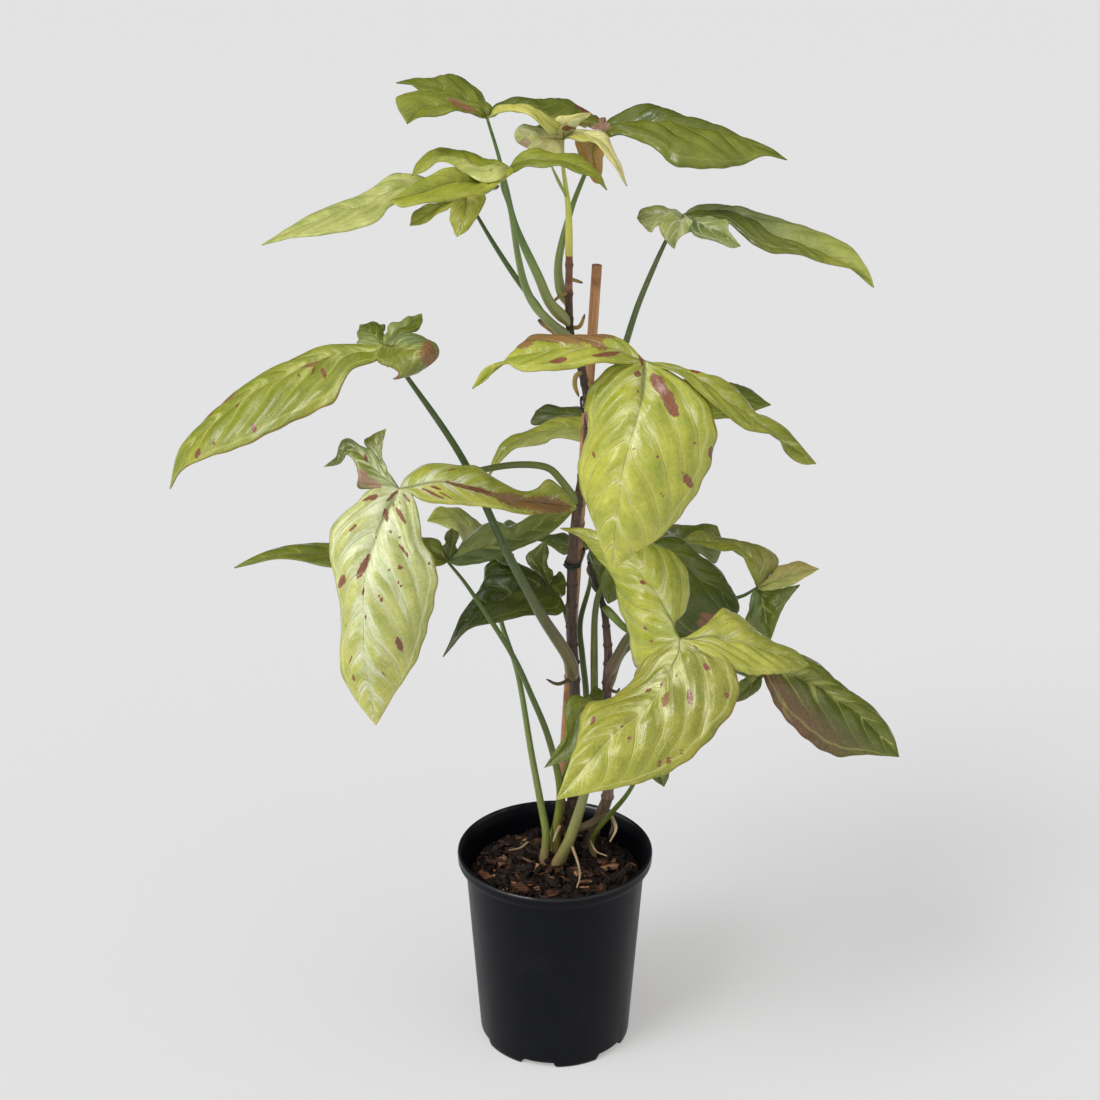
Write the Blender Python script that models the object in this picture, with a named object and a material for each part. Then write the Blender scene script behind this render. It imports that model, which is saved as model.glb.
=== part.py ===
"""A potted climbing aroid in a nursery pot: twenty lobed blades on long petioles, two stems tied to a
bamboo stake, potting bark and the pot, each its own solid.

Metres, +Z up. The origin is the middle of the pot's underside, +X is to the right and -Y is towards
the person who looks at the plant. A place on the plant is given as it is seen: the column and row
where a point shows in a 1100 x 1100 picture taken from EYE, and how far it lies behind the pot's
axis in millimetres. seen() turns the three into a place.
"""

import math

import bmesh
import bpy
import numpy as np
from mathutils import Vector

MM = 0.001

# The pot, a standard 140 mm nursery pot
RIM_RADIUS = 70.0
POT_HEIGHT = 150.0
BASE_RADIUS = 55.0
NECK_RADIUS = 64.5
LIP_HEIGHT = 8.0
POT_WALL = 1.6
POT_FLOOR = 2.2
POT_SIDES = 48
POT_FLOOR_INSET = 0.6
FOOT_ROUND = 1.5
DRAIN_SLOTS = 6
DRAIN_WIDTH = 26.0
DRAIN_HEIGHT = 4.5
DRAIN_REACH = 9.0
FIRST_SLOT_TURN = -13.0

# The potting bark
SOIL_LEVEL = 127.0
SOIL_SWELL = 1.3
SOIL_GAP = 0.4
SOIL_SIDES = 40
SOIL_RINGS = (0.25, 0.5, 0.75, 0.92, 1.0)
SOIL_FOOT_BEVEL = 8.0
ROOTED_DEPTH = 45.0
STAKE_DEPTH = 110.0
HOLE_PLAY = 0.45
HOLE_SIDES = 14
BARK_CHIPS = 18
CHIP_REACH = 52.0
CHIP_CLEAR = 14.0
CHIP_LENGTH = 9.0
CHIP_WIDTH = 6.0
CHIP_THICK = 3.2
SUNFLOWER_TURN = math.radians(137.5)

# Clearance between pieces that touch in the real plant, and the thickness of a blade
SEAT = 0.3
BLADE_THICK = 0.8
PETIOLE_END_GAP = 1.3
FOOT_RISE = 4.0
# A faceted stalk's flats lie a little inside its true radius
FACET = 0.95

# How each blade is divided: rows along a lobe, columns from its midrib to a margin, and how far a half
# swells up between the two, as a share of its width
LONG_RIB = 75.0
LONG_ROWS = 10
SHORT_ROWS = 5
COLUMNS = 2
SWELL = 0.10
SPLINE_STEPS = 24

# Where the picture is taken from, how far the view looks down, and its focal length and middle in pixels
EYE = Vector((-3.6, -1208.0, 858.0))
LOOK_DOWN = math.radians(21.6)
FOCAL = 1926.0
MIDDLE = 550.0

# Each blade: the junction where its petiole meets it, the webs that join neighbouring lobes out to
# the notch between them, and its lobes in order round the junction. A lobe has its midrib, ending in
# the tip, and the margins on its two sides, before and after it in that order.
LEAVES = {
    "01": dict(
        junction=(563, 139, -10),
        webs=(((557, 133, -7),), ((572, 132, -6),)),
        lobes=(
            dict(
                rib=((540, 137, -24), (514, 135, -32)),
                before=((548, 152, -22), (527, 148, -28), (517, 142, -31)),
                after=((551, 127, -8), (540, 125, -8), (519, 127, -20)),
            ),
            dict(
                rib=((566, 124, 8), (578, 117, 18), (592, 113, 25)),
                before=((556, 124, 5), (563, 117, 12), (578, 114, 20)),
                after=((575, 127, 4), (584, 119, 15)),
            ),
            dict(
                rib=((580, 133, -16), (600, 140, -26), (613, 156, -34), (627, 186, -42)),
                before=((592, 130, -12), (608, 139, -20), (621, 168, -35)),
                after=((571, 139, -22), (594, 144, -34), (608, 157, -40), (620, 176, -44)),
            ),
        ),
    ),
    "02": dict(
        junction=(487, 118, -10),
        webs=(((477, 110, -13),), ((493, 109, 4),)),
        lobes=(
            dict(
                rib=((450, 107, -24), (425, 107, -30), (407, 124, -45)),
                before=((474, 114, -22), (461, 110, -28), (444, 115, -35), (418, 118, -42)),
                after=((447, 101, -14), (418, 92, -17), (399, 95, -26), (397, 106, -34)),
            ),
            dict(
                rib=((462, 98, 10), (430, 86, 20), (396, 83, 30)),
                before=((447, 98, -4), (431, 93, 2), (416, 89, 12)),
                after=((485, 97, 30), (474, 86, 46), (455, 74, 55), (441, 81, 50), (416, 80, 42)),
            ),
            dict(
                rib=((500, 106, 0), (523, 104, 0), (549, 107, 0), (599, 123, 10)),
                before=((503, 102, 14), (528, 101, 26), (549, 99, 30), (565, 98, 30), (582, 105, 25)),
                after=((497, 113, -18), (518, 109, -28), (538, 114, -36), (556, 133, -44), (575, 125, -18)),
            ),
        ),
    ),
    "03": dict(
        junction=(603, 130, 50),
        webs=(((607, 124, 66),), ((609, 137, 32),)),
        lobes=(
            dict(
                rib=((590, 123, 85), (570, 124, 110)),
                before=((590, 128, 70), (578, 126, 95)),
                after=((602, 118, 90), (588, 117, 108)),
            ),
            dict(
                rib=((629, 122, 50), (665, 121, 45), (709, 128, 40), (745, 141, 36), (787, 160, 30)),
                before=((631, 108, 70), (657, 109, 68), (707, 125, 55), (763, 145, 40)),
                after=(
                    (625, 135, 30), (661, 149, 12), (682, 163, 5), (715, 169, 8), (742, 165, 18),
                    (764, 156, 25),
                ),
            ),
            dict(
                rib=((593, 145, 18), (594, 165, 8), (600, 184, 0)),
                before=((604, 152, 15), (602, 172, 4)),
                after=((592, 133, 25), (576, 139, 15), (578, 152, 12), (592, 180, 3)),
            ),
        ),
    ),
    "04": dict(
        junction=(510, 167, -45),
        webs=(((514, 172, -60),), ((499, 176, -58),)),
        lobes=(
            dict(
                rib=((530, 160, -54), (560, 162, -58), (585, 170, -63), (607, 190, -65)),
                before=(
                    (516, 158, -42), (528, 150, -42), (555, 153, -42), (583, 158, -47), (598, 173, -55),
                ),
                after=((535, 169, -70), (552, 168, -76), (571, 174, -79), (592, 179, -74)),
            ),
            dict(
                rib=((480, 181, -68), (450, 184, -80), (420, 194, -93), (390, 201, -100)),
                before=((482, 194, -85), (447, 200, -100), (417, 205, -108), (401, 207, -106)),
                after=((471, 175, -66), (455, 169, -72), (436, 172, -79), (412, 186, -90)),
            ),
            dict(
                rib=((480, 169, -45), (450, 158, -30), (428, 160, -18), (412, 176, -15)),
                before=((482, 179, -58), (466, 171, -51), (455, 160, -41), (438, 156, -32)),
                after=((500, 163, -32), (480, 158, -22), (455, 150, -12), (436, 151, -6), (418, 162, -6)),
            ),
        ),
    ),
    "05": dict(
        junction=(466, 196, 15),
        webs=(((453, 204, 4),), ((446, 202, 9),), ((456, 190, 36),)),
        lobes=(
            dict(
                rib=((466, 212, -2), (457, 237, -10)),
                before=((480, 196, 5), (482, 203, 0), (476, 213, -5), (466, 230, -8)),
                after=((450, 215, 0), (453, 229, -5)),
            ),
            dict(
                rib=((440, 207, 9), (410, 226, 15)),
                before=((437, 215, 5), (423, 224, 10)),
                after=((428, 205, 12), (415, 211, 18)),
            ),
            dict(
                rib=((440, 192, 15), (410, 187, 8), (370, 204, 0), (320, 222, -12), (262, 245, -20)),
                before=((417, 198, -6), (390, 208, -22), (375, 222, -35), (320, 236, -40), (290, 238, -32)),
                after=(
                    (440, 185, 34), (415, 176, 32), (394, 176, 25), (370, 190, 18), (330, 207, 5),
                    (290, 227, -8),
                ),
            ),
            dict(
                rib=((474, 190, 50), (500, 186, 90)),
                before=((458, 186, 48), (474, 183, 78)),
                after=((480, 194, 35), (495, 190, 68)),
            ),
        ),
    ),
    "06": dict(
        junction=(684, 214, 40),
        webs=(((698, 218, 27),), ((692, 222, 25),), ((671, 218, 27),)),
        lobes=(
            dict(
                rib=(
                    (715, 212, 45), (743, 216, 42), (766, 230, 36), (800, 246, 34), (840, 261, 34),
                    (874, 288, 33),
                ),
                before=(
                    (695, 209, 62), (730, 209, 66), (784, 221, 60), (810, 227, 55), (849, 247, 46),
                    (862, 262, 38),
                ),
                after=(
                    (728, 222, 22), (753, 244, 8), (772, 254, 5), (801, 254, 10), (826, 264, 18),
                    (858, 270, 28),
                ),
            ),
            dict(
                rib=((705, 225, 15), (720, 233, 5), (741, 246, -5)),
                before=((726, 219, 10), (729, 231, 2)),
                after=((693, 234, 8), (719, 243, -2), (732, 248, -5)),
            ),
            dict(
                rib=((679, 226, 20), (674, 249, 10)),
                before=((693, 230, 18), (679, 238, 12)),
                after=((660, 222, 20), (660, 231, 15), (668, 243, 10)),
            ),
            dict(
                rib=((660, 214, 38), (645, 214, 42), (637, 218, 40)),
                before=((657, 226, 20), (652, 233, 18), (643, 226, 28)),
                after=((672, 213, 55), (655, 208, 58), (643, 209, 52)),
            ),
        ),
    ),
    "07": dict(
        junction=(383, 345, -75),
        webs=(((377, 360, -94),), ((371, 346, -68),), ((384, 338, -62),)),
        lobes=(
            dict(
                rib=((405, 347, -100), (424, 355, -115), (413, 370, -112), (393, 379, -105)),
                before=(
                    (390, 340, -78), (405, 335, -85), (427, 338, -92), (437, 345, -98), (435, 358, -100),
                    (417, 371, -98),
                ),
                after=((386, 366, -105), (398, 371, -112), (396, 378, -112)),
            ),
            dict(
                rib=(
                    (370, 352, -78), (335, 355, -82), (300, 366, -88), (262, 387, -94), (225, 413, -100),
                    (195, 443, -104), (170, 489, -108),
                ),
                before=(
                    (351, 371, -102), (336, 399, -112), (318, 410, -116), (253, 442, -122),
                    (209, 457, -120), (182, 471, -115),
                ),
                after=(
                    (328, 348, -62), (302, 358, -62), (269, 374, -66), (235, 396, -74), (190, 436, -90),
                    (177, 458, -96),
                ),
            ),
            dict(
                rib=((374, 335, -58), (360, 325, -45)),
                before=((359, 345, -62), (358, 335, -52)),
                after=((384, 326, -50), (375, 323, -44)),
            ),
            dict(
                rib=((395, 334, -64), (410, 325, -58), (422, 314, -45)),
                before=((391, 325, -58), (405, 319, -54), (413, 316, -48)),
                after=((392, 341, -75), (405, 337, -78), (414, 332, -74), (422, 324, -62)),
            ),
        ),
    ),
    "08": dict(
        junction=(399, 489, -110),
        webs=(((411, 494, -115),), ((372, 489, -112),), ((386, 472, -101),)),
        lobes=(
            dict(
                rib=(
                    (425, 483, -104), (450, 482, -98), (480, 491, -88), (510, 500, -76), (545, 504, -58),
                    (577, 508, -44),
                ),
                before=(
                    (408, 476, -98), (430, 465, -88), (473, 465, -76), (490, 478, -70), (522, 490, -60),
                    (536, 489, -54), (549, 480, -46), (566, 493, -42),
                ),
                after=(
                    (430, 503, -112), (478, 506, -98), (522, 514, -82), (549, 513, -68), (570, 512, -52),
                ),
            ),
            dict(
                rib=(
                    (386, 512, -122), (375, 540, -134), (367, 567, -142), (364, 610, -150),
                    (366, 660, -150), (376, 725, -140),
                ),
                before=(
                    (418, 512, -122), (422, 538, -128), (436, 566, -131), (433, 610, -134),
                    (422, 644, -136), (405, 677, -138),
                ),
                after=(
                    (355, 505, -120), (334, 522, -125), (328, 545, -130), (338, 585, -138),
                    (341, 642, -142), (342, 673, -142), (355, 699, -142),
                ),
            ),
            dict(
                rib=((378, 472, -106), (362, 455, -102), (348, 446, -97), (339, 455, -95), (324, 467, -95)),
                before=(
                    (358, 488, -114), (358, 473, -112), (355, 463, -108), (347, 455, -102),
                    (339, 464, -97),
                ),
                after=((372, 452, -97), (350, 440, -93), (339, 446, -92), (335, 459, -94)),
            ),
            dict(
                rib=((384, 465, -102), (377, 447, -96), (386, 429, -88)),
                before=((372, 450, -95), (364, 440, -91), (373, 435, -90)),
                after=((389, 478, -106), (384, 465, -104), (382, 448, -98)),
            ),
        ),
    ),
    "09": dict(
        junction=(604, 425, 70),
        webs=(((596, 420, 82),), ((612, 416, 90),)),
        lobes=(
            dict(
                rib=((580, 428, 66), (550, 429, 60), (525, 438, 54), (505, 450, 48), (488, 478, 45)),
                before=(
                    (585, 441, 45), (554, 438, 42), (545, 442, 38), (528, 447, 35), (513, 450, 38),
                    (500, 462, 42),
                ),
                after=((576, 416, 84), (558, 419, 78), (530, 430, 68), (503, 442, 55), (494, 457, 50)),
            ),
            dict(
                rib=((572, 414, 94), (552, 413, 105), (536, 411, 112)),
                before=((580, 419, 90), (558, 421, 99), (532, 425, 105)),
                after=((585, 409, 105), (570, 408, 110), (548, 405, 115)),
            ),
            dict(
                rib=((650, 412, 72), (700, 400, 65), (740, 398, 55), (771, 405, 48)),
                before=((640, 395, 110), (680, 381, 115), (715, 380, 105), (745, 388, 85)),
                after=((630, 432, 45), (670, 425, 35), (705, 418, 30), (738, 418, 34), (755, 411, 40)),
            ),
        ),
    ),
    "10": dict(
        junction=(448, 562, -50),
        webs=(((443, 550, -44),), ((456, 552, -44),)),
        lobes=(
            dict(
                rib=((430, 551, -46), (390, 550, -40), (340, 554, -32), (290, 556, -24), (234, 568, -16)),
                before=(
                    (436, 566, -66), (390, 563, -70), (360, 567, -66), (329, 566, -55), (289, 560, -38),
                    (266, 560, -28),
                ),
                after=((434, 538, -32), (390, 540, -10), (327, 544, -5), (283, 547, -8), (257, 555, -12)),
            ),
            dict(
                rib=((451, 544, -44), (452, 528, -42)),
                before=((445, 542, -43), (446, 533, -42)),
                after=((456, 544, -45), (459, 534, -43)),
            ),
            dict(
                rib=(
                    (468, 554, -46), (488, 546, -36), (507, 541, -25), (529, 531, -10), (552, 521, 2),
                    (574, 511, 11),
                ),
                before=((474, 530, -15), (495, 523, -5), (507, 528, -2), (533, 514, 8), (564, 510, 15)),
                after=((460, 566, -64), (488, 561, -50), (510, 553, -40), (536, 541, -20), (556, 529, -6)),
            ),
        ),
    ),
    "11": dict(
        junction=(490, 545, 50),
        webs=(((489, 534, 68),), ((498, 545, 56),)),
        lobes=(
            dict(
                rib=((475, 531, 52), (450, 519, 50), (427, 521, 45)),
                before=((478, 547, 35), (465, 543, 28), (455, 532, 28), (444, 526, 34)),
                after=((466, 513, 72), (448, 507, 62), (437, 508, 55)),
            ),
            dict(
                rib=((503, 533, 75), (520, 525, 110)),
                before=((496, 528, 82), (508, 521, 102)),
                after=((506, 540, 70), (516, 534, 92)),
            ),
            dict(
                rib=((500, 552, 42), (512, 566, 20)),
                before=((505, 550, 46), (514, 556, 32)),
                after=((492, 555, 40), (502, 564, 26)),
            ),
        ),
    ),
    "12": dict(
        junction=(645, 361, -95),
        webs=(((656, 367, -99),), ((634, 364, -102),)),
        lobes=(
            dict(
                rib=(
                    (672, 367, -94), (698, 379, -92), (730, 402, -92), (760, 426, -90), (790, 447, -88),
                    (816, 464, -86),
                ),
                before=(
                    (660, 361, -86), (691, 366, -76), (720, 380, -72), (738, 392, -70), (753, 411, -72),
                    (767, 418, -72), (790, 433, -76),
                ),
                after=(
                    (684, 377, -106), (720, 411, -110), (745, 428, -110), (774, 436, -100),
                    (786, 453, -96), (802, 464, -92),
                ),
            ),
            dict(
                rib=(
                    (643, 394, -112), (635, 427, -126), (625, 465, -136), (618, 512, -140),
                    (612, 570, -132),
                ),
                before=(
                    (672, 373, -99), (698, 391, -104), (713, 420, -110), (716, 442, -114),
                    (710, 470, -120), (686, 505, -128), (661, 537, -132), (630, 556, -134),
                ),
                after=(
                    (612, 366, -102), (594, 382, -104), (586, 401, -108), (587, 432, -114),
                    (580, 453, -116), (581, 484, -122), (597, 535, -130),
                ),
            ),
            dict(
                rib=(
                    (615, 350, -96), (580, 348, -100), (550, 351, -104), (519, 355, -106),
                    (503, 364, -108), (472, 389, -110),
                ),
                before=(
                    (612, 364, -112), (590, 364, -120), (554, 371, -128), (526, 372, -128),
                    (508, 366, -122), (487, 380, -116),
                ),
                after=(
                    (633, 350, -86), (620, 341, -77), (602, 337, -74), (540, 336, -80), (524, 341, -86),
                    (506, 357, -96), (482, 370, -104),
                ),
            ),
        ),
    ),
    "13": dict(
        junction=(680, 639, -110),
        webs=(((701, 651, -122), (722, 661, -126)), ((660, 650, -106), (638, 668, -98))),
        lobes=(
            dict(
                rib=((705, 636, -108), (731, 640, -102), (760, 648, -98), (809, 665, -92)),
                before=(
                    (694, 633, -104), (704, 626, -98), (715, 617, -90), (723, 608, -84), (738, 614, -78),
                    (757, 633, -78), (793, 650, -86),
                ),
                after=((737, 671, -122), (760, 675, -114), (793, 672, -100)),
            ),
            dict(
                rib=(
                    (675, 660, -122), (660, 690, -134), (641, 714, -144), (611, 738, -156),
                    (556, 800, -176),
                ),
                before=(
                    (734, 667, -127), (738, 689, -132), (731, 711, -140), (703, 748, -154),
                    (658, 777, -164), (599, 791, -172),
                ),
                after=(
                    (631, 685, -104), (611, 698, -118), (587, 706, -134), (575, 746, -156),
                    (563, 782, -171),
                ),
            ),
            dict(
                rib=((673, 624, -104), (655, 592, -90), (630, 560, -74), (600, 542, -60), (560, 528, -48)),
                before=((630, 645, -88), (619, 598, -74), (608, 572, -65), (584, 541, -52)),
                after=(
                    (673, 624, -100), (685, 610, -92), (690, 585, -82), (680, 560, -72), (655, 543, -62),
                    (620, 543, -58), (590, 529, -52),
                ),
            ),
        ),
    ),
    "14": dict(
        junction=(770, 667, 0),
        webs=(((771, 660, 12),), ((763, 673, -6),)),
        lobes=(
            dict(
                rib=((752, 655, 30), (728, 645, 62)),
                before=((754, 665, 25), (740, 655, 45)),
                after=((762, 650, 38), (742, 638, 60)),
            ),
            dict(
                rib=((785, 672, 2), (800, 678, 0), (835, 697, -8), (870, 724, -20), (899, 757, -32)),
                before=(
                    (782, 653, 22), (796, 652, 26), (813, 661, 26), (836, 681, 18), (866, 703, 4),
                    (890, 728, -12),
                ),
                after=((770, 693, -20), (781, 714, -28), (799, 733, -36), (835, 756, -44), (865, 755, -42)),
            ),
            dict(
                rib=((752, 683, -10), (732, 703, -25)),
                before=((760, 688, -14), (746, 699, -21)),
                after=((752, 672, 0), (742, 680, -8), (735, 692, -16)),
            ),
        ),
    ),
    "15": dict(
        junction=(757, 588, 50),
        webs=(((768, 577, 62),), ((768, 592, 43),)),
        lobes=(
            dict(
                rib=((755, 572, 55), (745, 558, 60), (720, 544, 66), (681, 541, 70)),
                before=((754, 580, 40), (750, 568, 38), (738, 553, 43), (722, 550, 50), (703, 546, 58)),
                after=((780, 563, 72), (766, 550, 78), (721, 538, 80), (698, 531, 76)),
            ),
            dict(
                rib=((775, 582, 56), (797, 573, 66), (819, 569, 70)),
                before=((784, 564, 73), (803, 563, 76)),
                after=((784, 588, 48), (803, 579, 58)),
            ),
            dict(
                rib=((763, 602, 36), (766, 620, 26), (770, 642, 16)),
                before=((785, 590, 40), (800, 584, 38), (783, 608, 26)),
                after=((752, 594, 40), (749, 608, 32), (746, 621, 24), (757, 630, 20)),
            ),
        ),
    ),
    "16": dict(
        junction=(650, 547, 20),
        webs=(((662, 538, 44),), ((646, 556, 10),)),
        lobes=(
            dict(
                rib=((680, 536, 92), (702, 541, 110), (717, 526, 126)),
                before=((670, 527, 98), (695, 525, 118), (706, 524, 126)),
                after=((680, 546, 84), (700, 554, 100), (715, 563, 110), (722, 545, 118)),
            ),
            dict(
                rib=((670, 553, 20), (695, 575, 12), (720, 590, 2), (739, 611, -8)),
                before=((682, 541, 44), (715, 567, 36), (736, 598, 20)),
                after=(
                    (652, 570, -6), (660, 602, -20), (674, 634, -32), (700, 643, -36), (719, 632, -26),
                    (732, 619, -14),
                ),
            ),
            dict(
                rib=((628, 565, 8), (612, 588, 0), (608, 604, -5)),
                before=((635, 577, 4), (619, 597, -3)),
                after=((635, 548, 20), (615, 558, 12), (601, 574, 5), (602, 592, 0)),
            ),
        ),
    ),
    "17": dict(
        junction=(549, 586, 20),
        webs=(((559, 595, 10),), ((540, 577, 28),)),
        lobes=(
            dict(
                rib=((558, 583, 28), (564, 576, 33)),
                before=((554, 577, 32), (559, 572, 36)),
                after=((564, 595, 18), (566, 585, 26)),
            ),
            dict(
                rib=((527, 589, 14), (505, 598, 8), (485, 606, 2), (467, 624, -4), (443, 657, -12)),
                before=((563, 611, -8), (541, 615, -18), (493, 622, -26), (466, 632, -20)),
                after=((526, 567, 36), (508, 558, 42), (488, 565, 40), (484, 583, 28), (462, 616, 4)),
            ),
            dict(
                rib=((543, 565, 38), (545, 541, 50)),
                before=((526, 560, 42), (534, 549, 48)),
                after=((553, 575, 30), (547, 562, 40), (549, 551, 46)),
            ),
        ),
    ),
    "18": dict(
        junction=(594, 703, -30),
        webs=(((590, 713, -38),), ((587, 698, -28),)),
        lobes=(
            dict(
                rib=((606, 722, -44), (616, 746, -56)),
                before=((614, 714, -38), (620, 732, -48)),
                after=((594, 728, -48), (604, 742, -56)),
            ),
            dict(
                rib=((580, 712, -40), (572, 735, -48), (560, 752, -54), (544, 768, -58)),
                before=((584, 735, -50), (575, 753, -56), (562, 762, -58)),
                after=((572, 696, -33), (564, 708, -40), (566, 732, -50), (556, 749, -54)),
            ),
            dict(
                rib=((597, 695, -18), (600, 689, -9)),
                before=((590, 694, -20), (594, 687, -11)),
                after=((602, 700, -22), (604, 693, -13)),
            ),
        ),
    ),
    "19": dict(
        junction=(590, 548, 60),
        webs=(((588, 541, 74),), ((596, 554, 62),)),
        lobes=(
            dict(
                rib=((570, 546, 68), (550, 541, 78), (533, 540, 85)),
                before=((577, 553, 55), (563, 554, 58), (545, 543, 76)),
                after=((575, 537, 82), (560, 534, 88), (545, 535, 90)),
            ),
            dict(
                rib=((597, 549, 95), (600, 552, 140)),
                before=((589, 540, 95), (594, 545, 122)),
                after=((603, 551, 90), (606, 553, 120)),
            ),
            dict(
                rib=((596, 570, 48), (603, 602, 45)),
                before=((604, 562, 48), (608, 580, 45)),
                after=((587, 562, 55), (592, 585, 48)),
            ),
        ),
    ),
    "20": dict(
        junction=(652, 742, -58),
        webs=(((656, 750, -64),), ((646, 748, -62),)),
        lobes=(
            dict(
                rib=((668, 742, -54), (690, 738, -46)),
                before=((664, 735, -46), (680, 732, -42)),
                after=((670, 750, -60), (684, 746, -52)),
            ),
            dict(
                rib=((655, 765, -72), (664, 787, -82)),
                before=((666, 760, -70), (669, 775, -78)),
                after=((644, 764, -72), (652, 778, -80)),
            ),
            dict(
                rib=((638, 750, -64), (622, 762, -72)),
                before=((640, 757, -68), (630, 764, -73)),
                after=((638, 742, -60), (627, 750, -67)),
            ),
        ),
    ),
}

# Where each stem comes out of the potting bark, in millimetres from the pot's axis
ROOTED = {
    "main_stem": (11.0, 20.0),
    "second_stem": (21.5, 27.0),
    "stake": (2.0, 33.0),
    "10": (0.0, 19.5),
    "11": (-8.5, 10.0),
    "16": (1.5, 7.0),
    "18": (-7.0, 27.0),
    "19": (12.0, 35.0),
    "20": (28.5, 17.0),
}

# The two stems, each with the radius it starts and ends with
STEMS = {
    "main_stem": dict(
        path=(
            (573, 790, 12), (575, 700, 6), (572, 640, 2), (572, 574, 0), (577, 510, 0), (586, 455, 0),
            (588, 405, 0), (582, 371, 0), (571, 337, 0), (569, 300, 0), (569, 251, 0),
        ),
        radii=(4.6, 4.4, 4.2, 4.0, 3.8, 3.6, 3.3, 3.0, 2.7, 2.4),
    ),
    "second_stem": dict(
        path=(
            (602, 812, 20), (608, 790, 14), (608, 740, 10), (607, 690, 8), (608, 650, 8), (604, 610, 8),
            (594, 580, 9), (589, 562, 10),
        ),
        radii=(4.4, 4.4, 4.2, 4.0, 3.8, 3.4, 3.0, 2.2, 1.2),
    ),
}

# Aerial roots: each starts inside the stem that it grows from
AERIAL_ROOTS = {
    "main_stem": (
        dict(path=((570, 292, 0), (560, 296, -3), (553, 302, -5)), radii=(1.5, 1.2, 0.7)),
        dict(path=((570, 279, 0), (577, 281, -3), (583, 283, -4)), radii=(1.3, 1.2, 0.8)),
        dict(path=((573, 328, 0), (580, 326, -4), (585, 314, -6)), radii=(1.4, 1.3, 0.8)),
        dict(
            path=((583, 372, 0), (576, 376, -5), (575, 386, -6), (579, 397, -6)),
            radii=(1.6, 1.6, 1.5, 0.9),
        ),
        dict(path=((586, 380, 0), (592, 389, -4), (593, 398, -5)), radii=(1.3, 1.2, 0.8)),
        dict(
            path=((573, 344, 0), (560, 334, -2), (548, 325, -2), (538, 320, -2)),
            radii=(2.6, 2.8, 3.3, 2.4),
        ),
        dict(path=((573, 678, 4), (558, 684, -3), (546, 679, -5)), radii=(1.5, 1.3, 0.8)),
        dict(path=((579, 492, 0), (571, 497, -5), (566, 502, -7)), radii=(2.0, 1.8, 1.0)),
    ),
    "second_stem": (
        dict(path=((607, 688, 8), (616, 692, 2), (620, 688, -1)), radii=(1.4, 1.2, 0.7)),
        dict(
            path=((606, 813, 18), (594, 822, 8), (578, 829, 3), (563, 835, 1)),
            radii=(3.4, 3.1, 2.8, 2.0),
        ),
        dict(path=((607, 700, 8), (612, 706, 2), (609, 714, -1)), radii=(1.4, 1.2, 0.7)),
        dict(path=((606, 812, 18), (613, 822, 8), (609, 838, 4)), radii=(1.6, 1.4, 0.8)),
    ),
}

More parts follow.
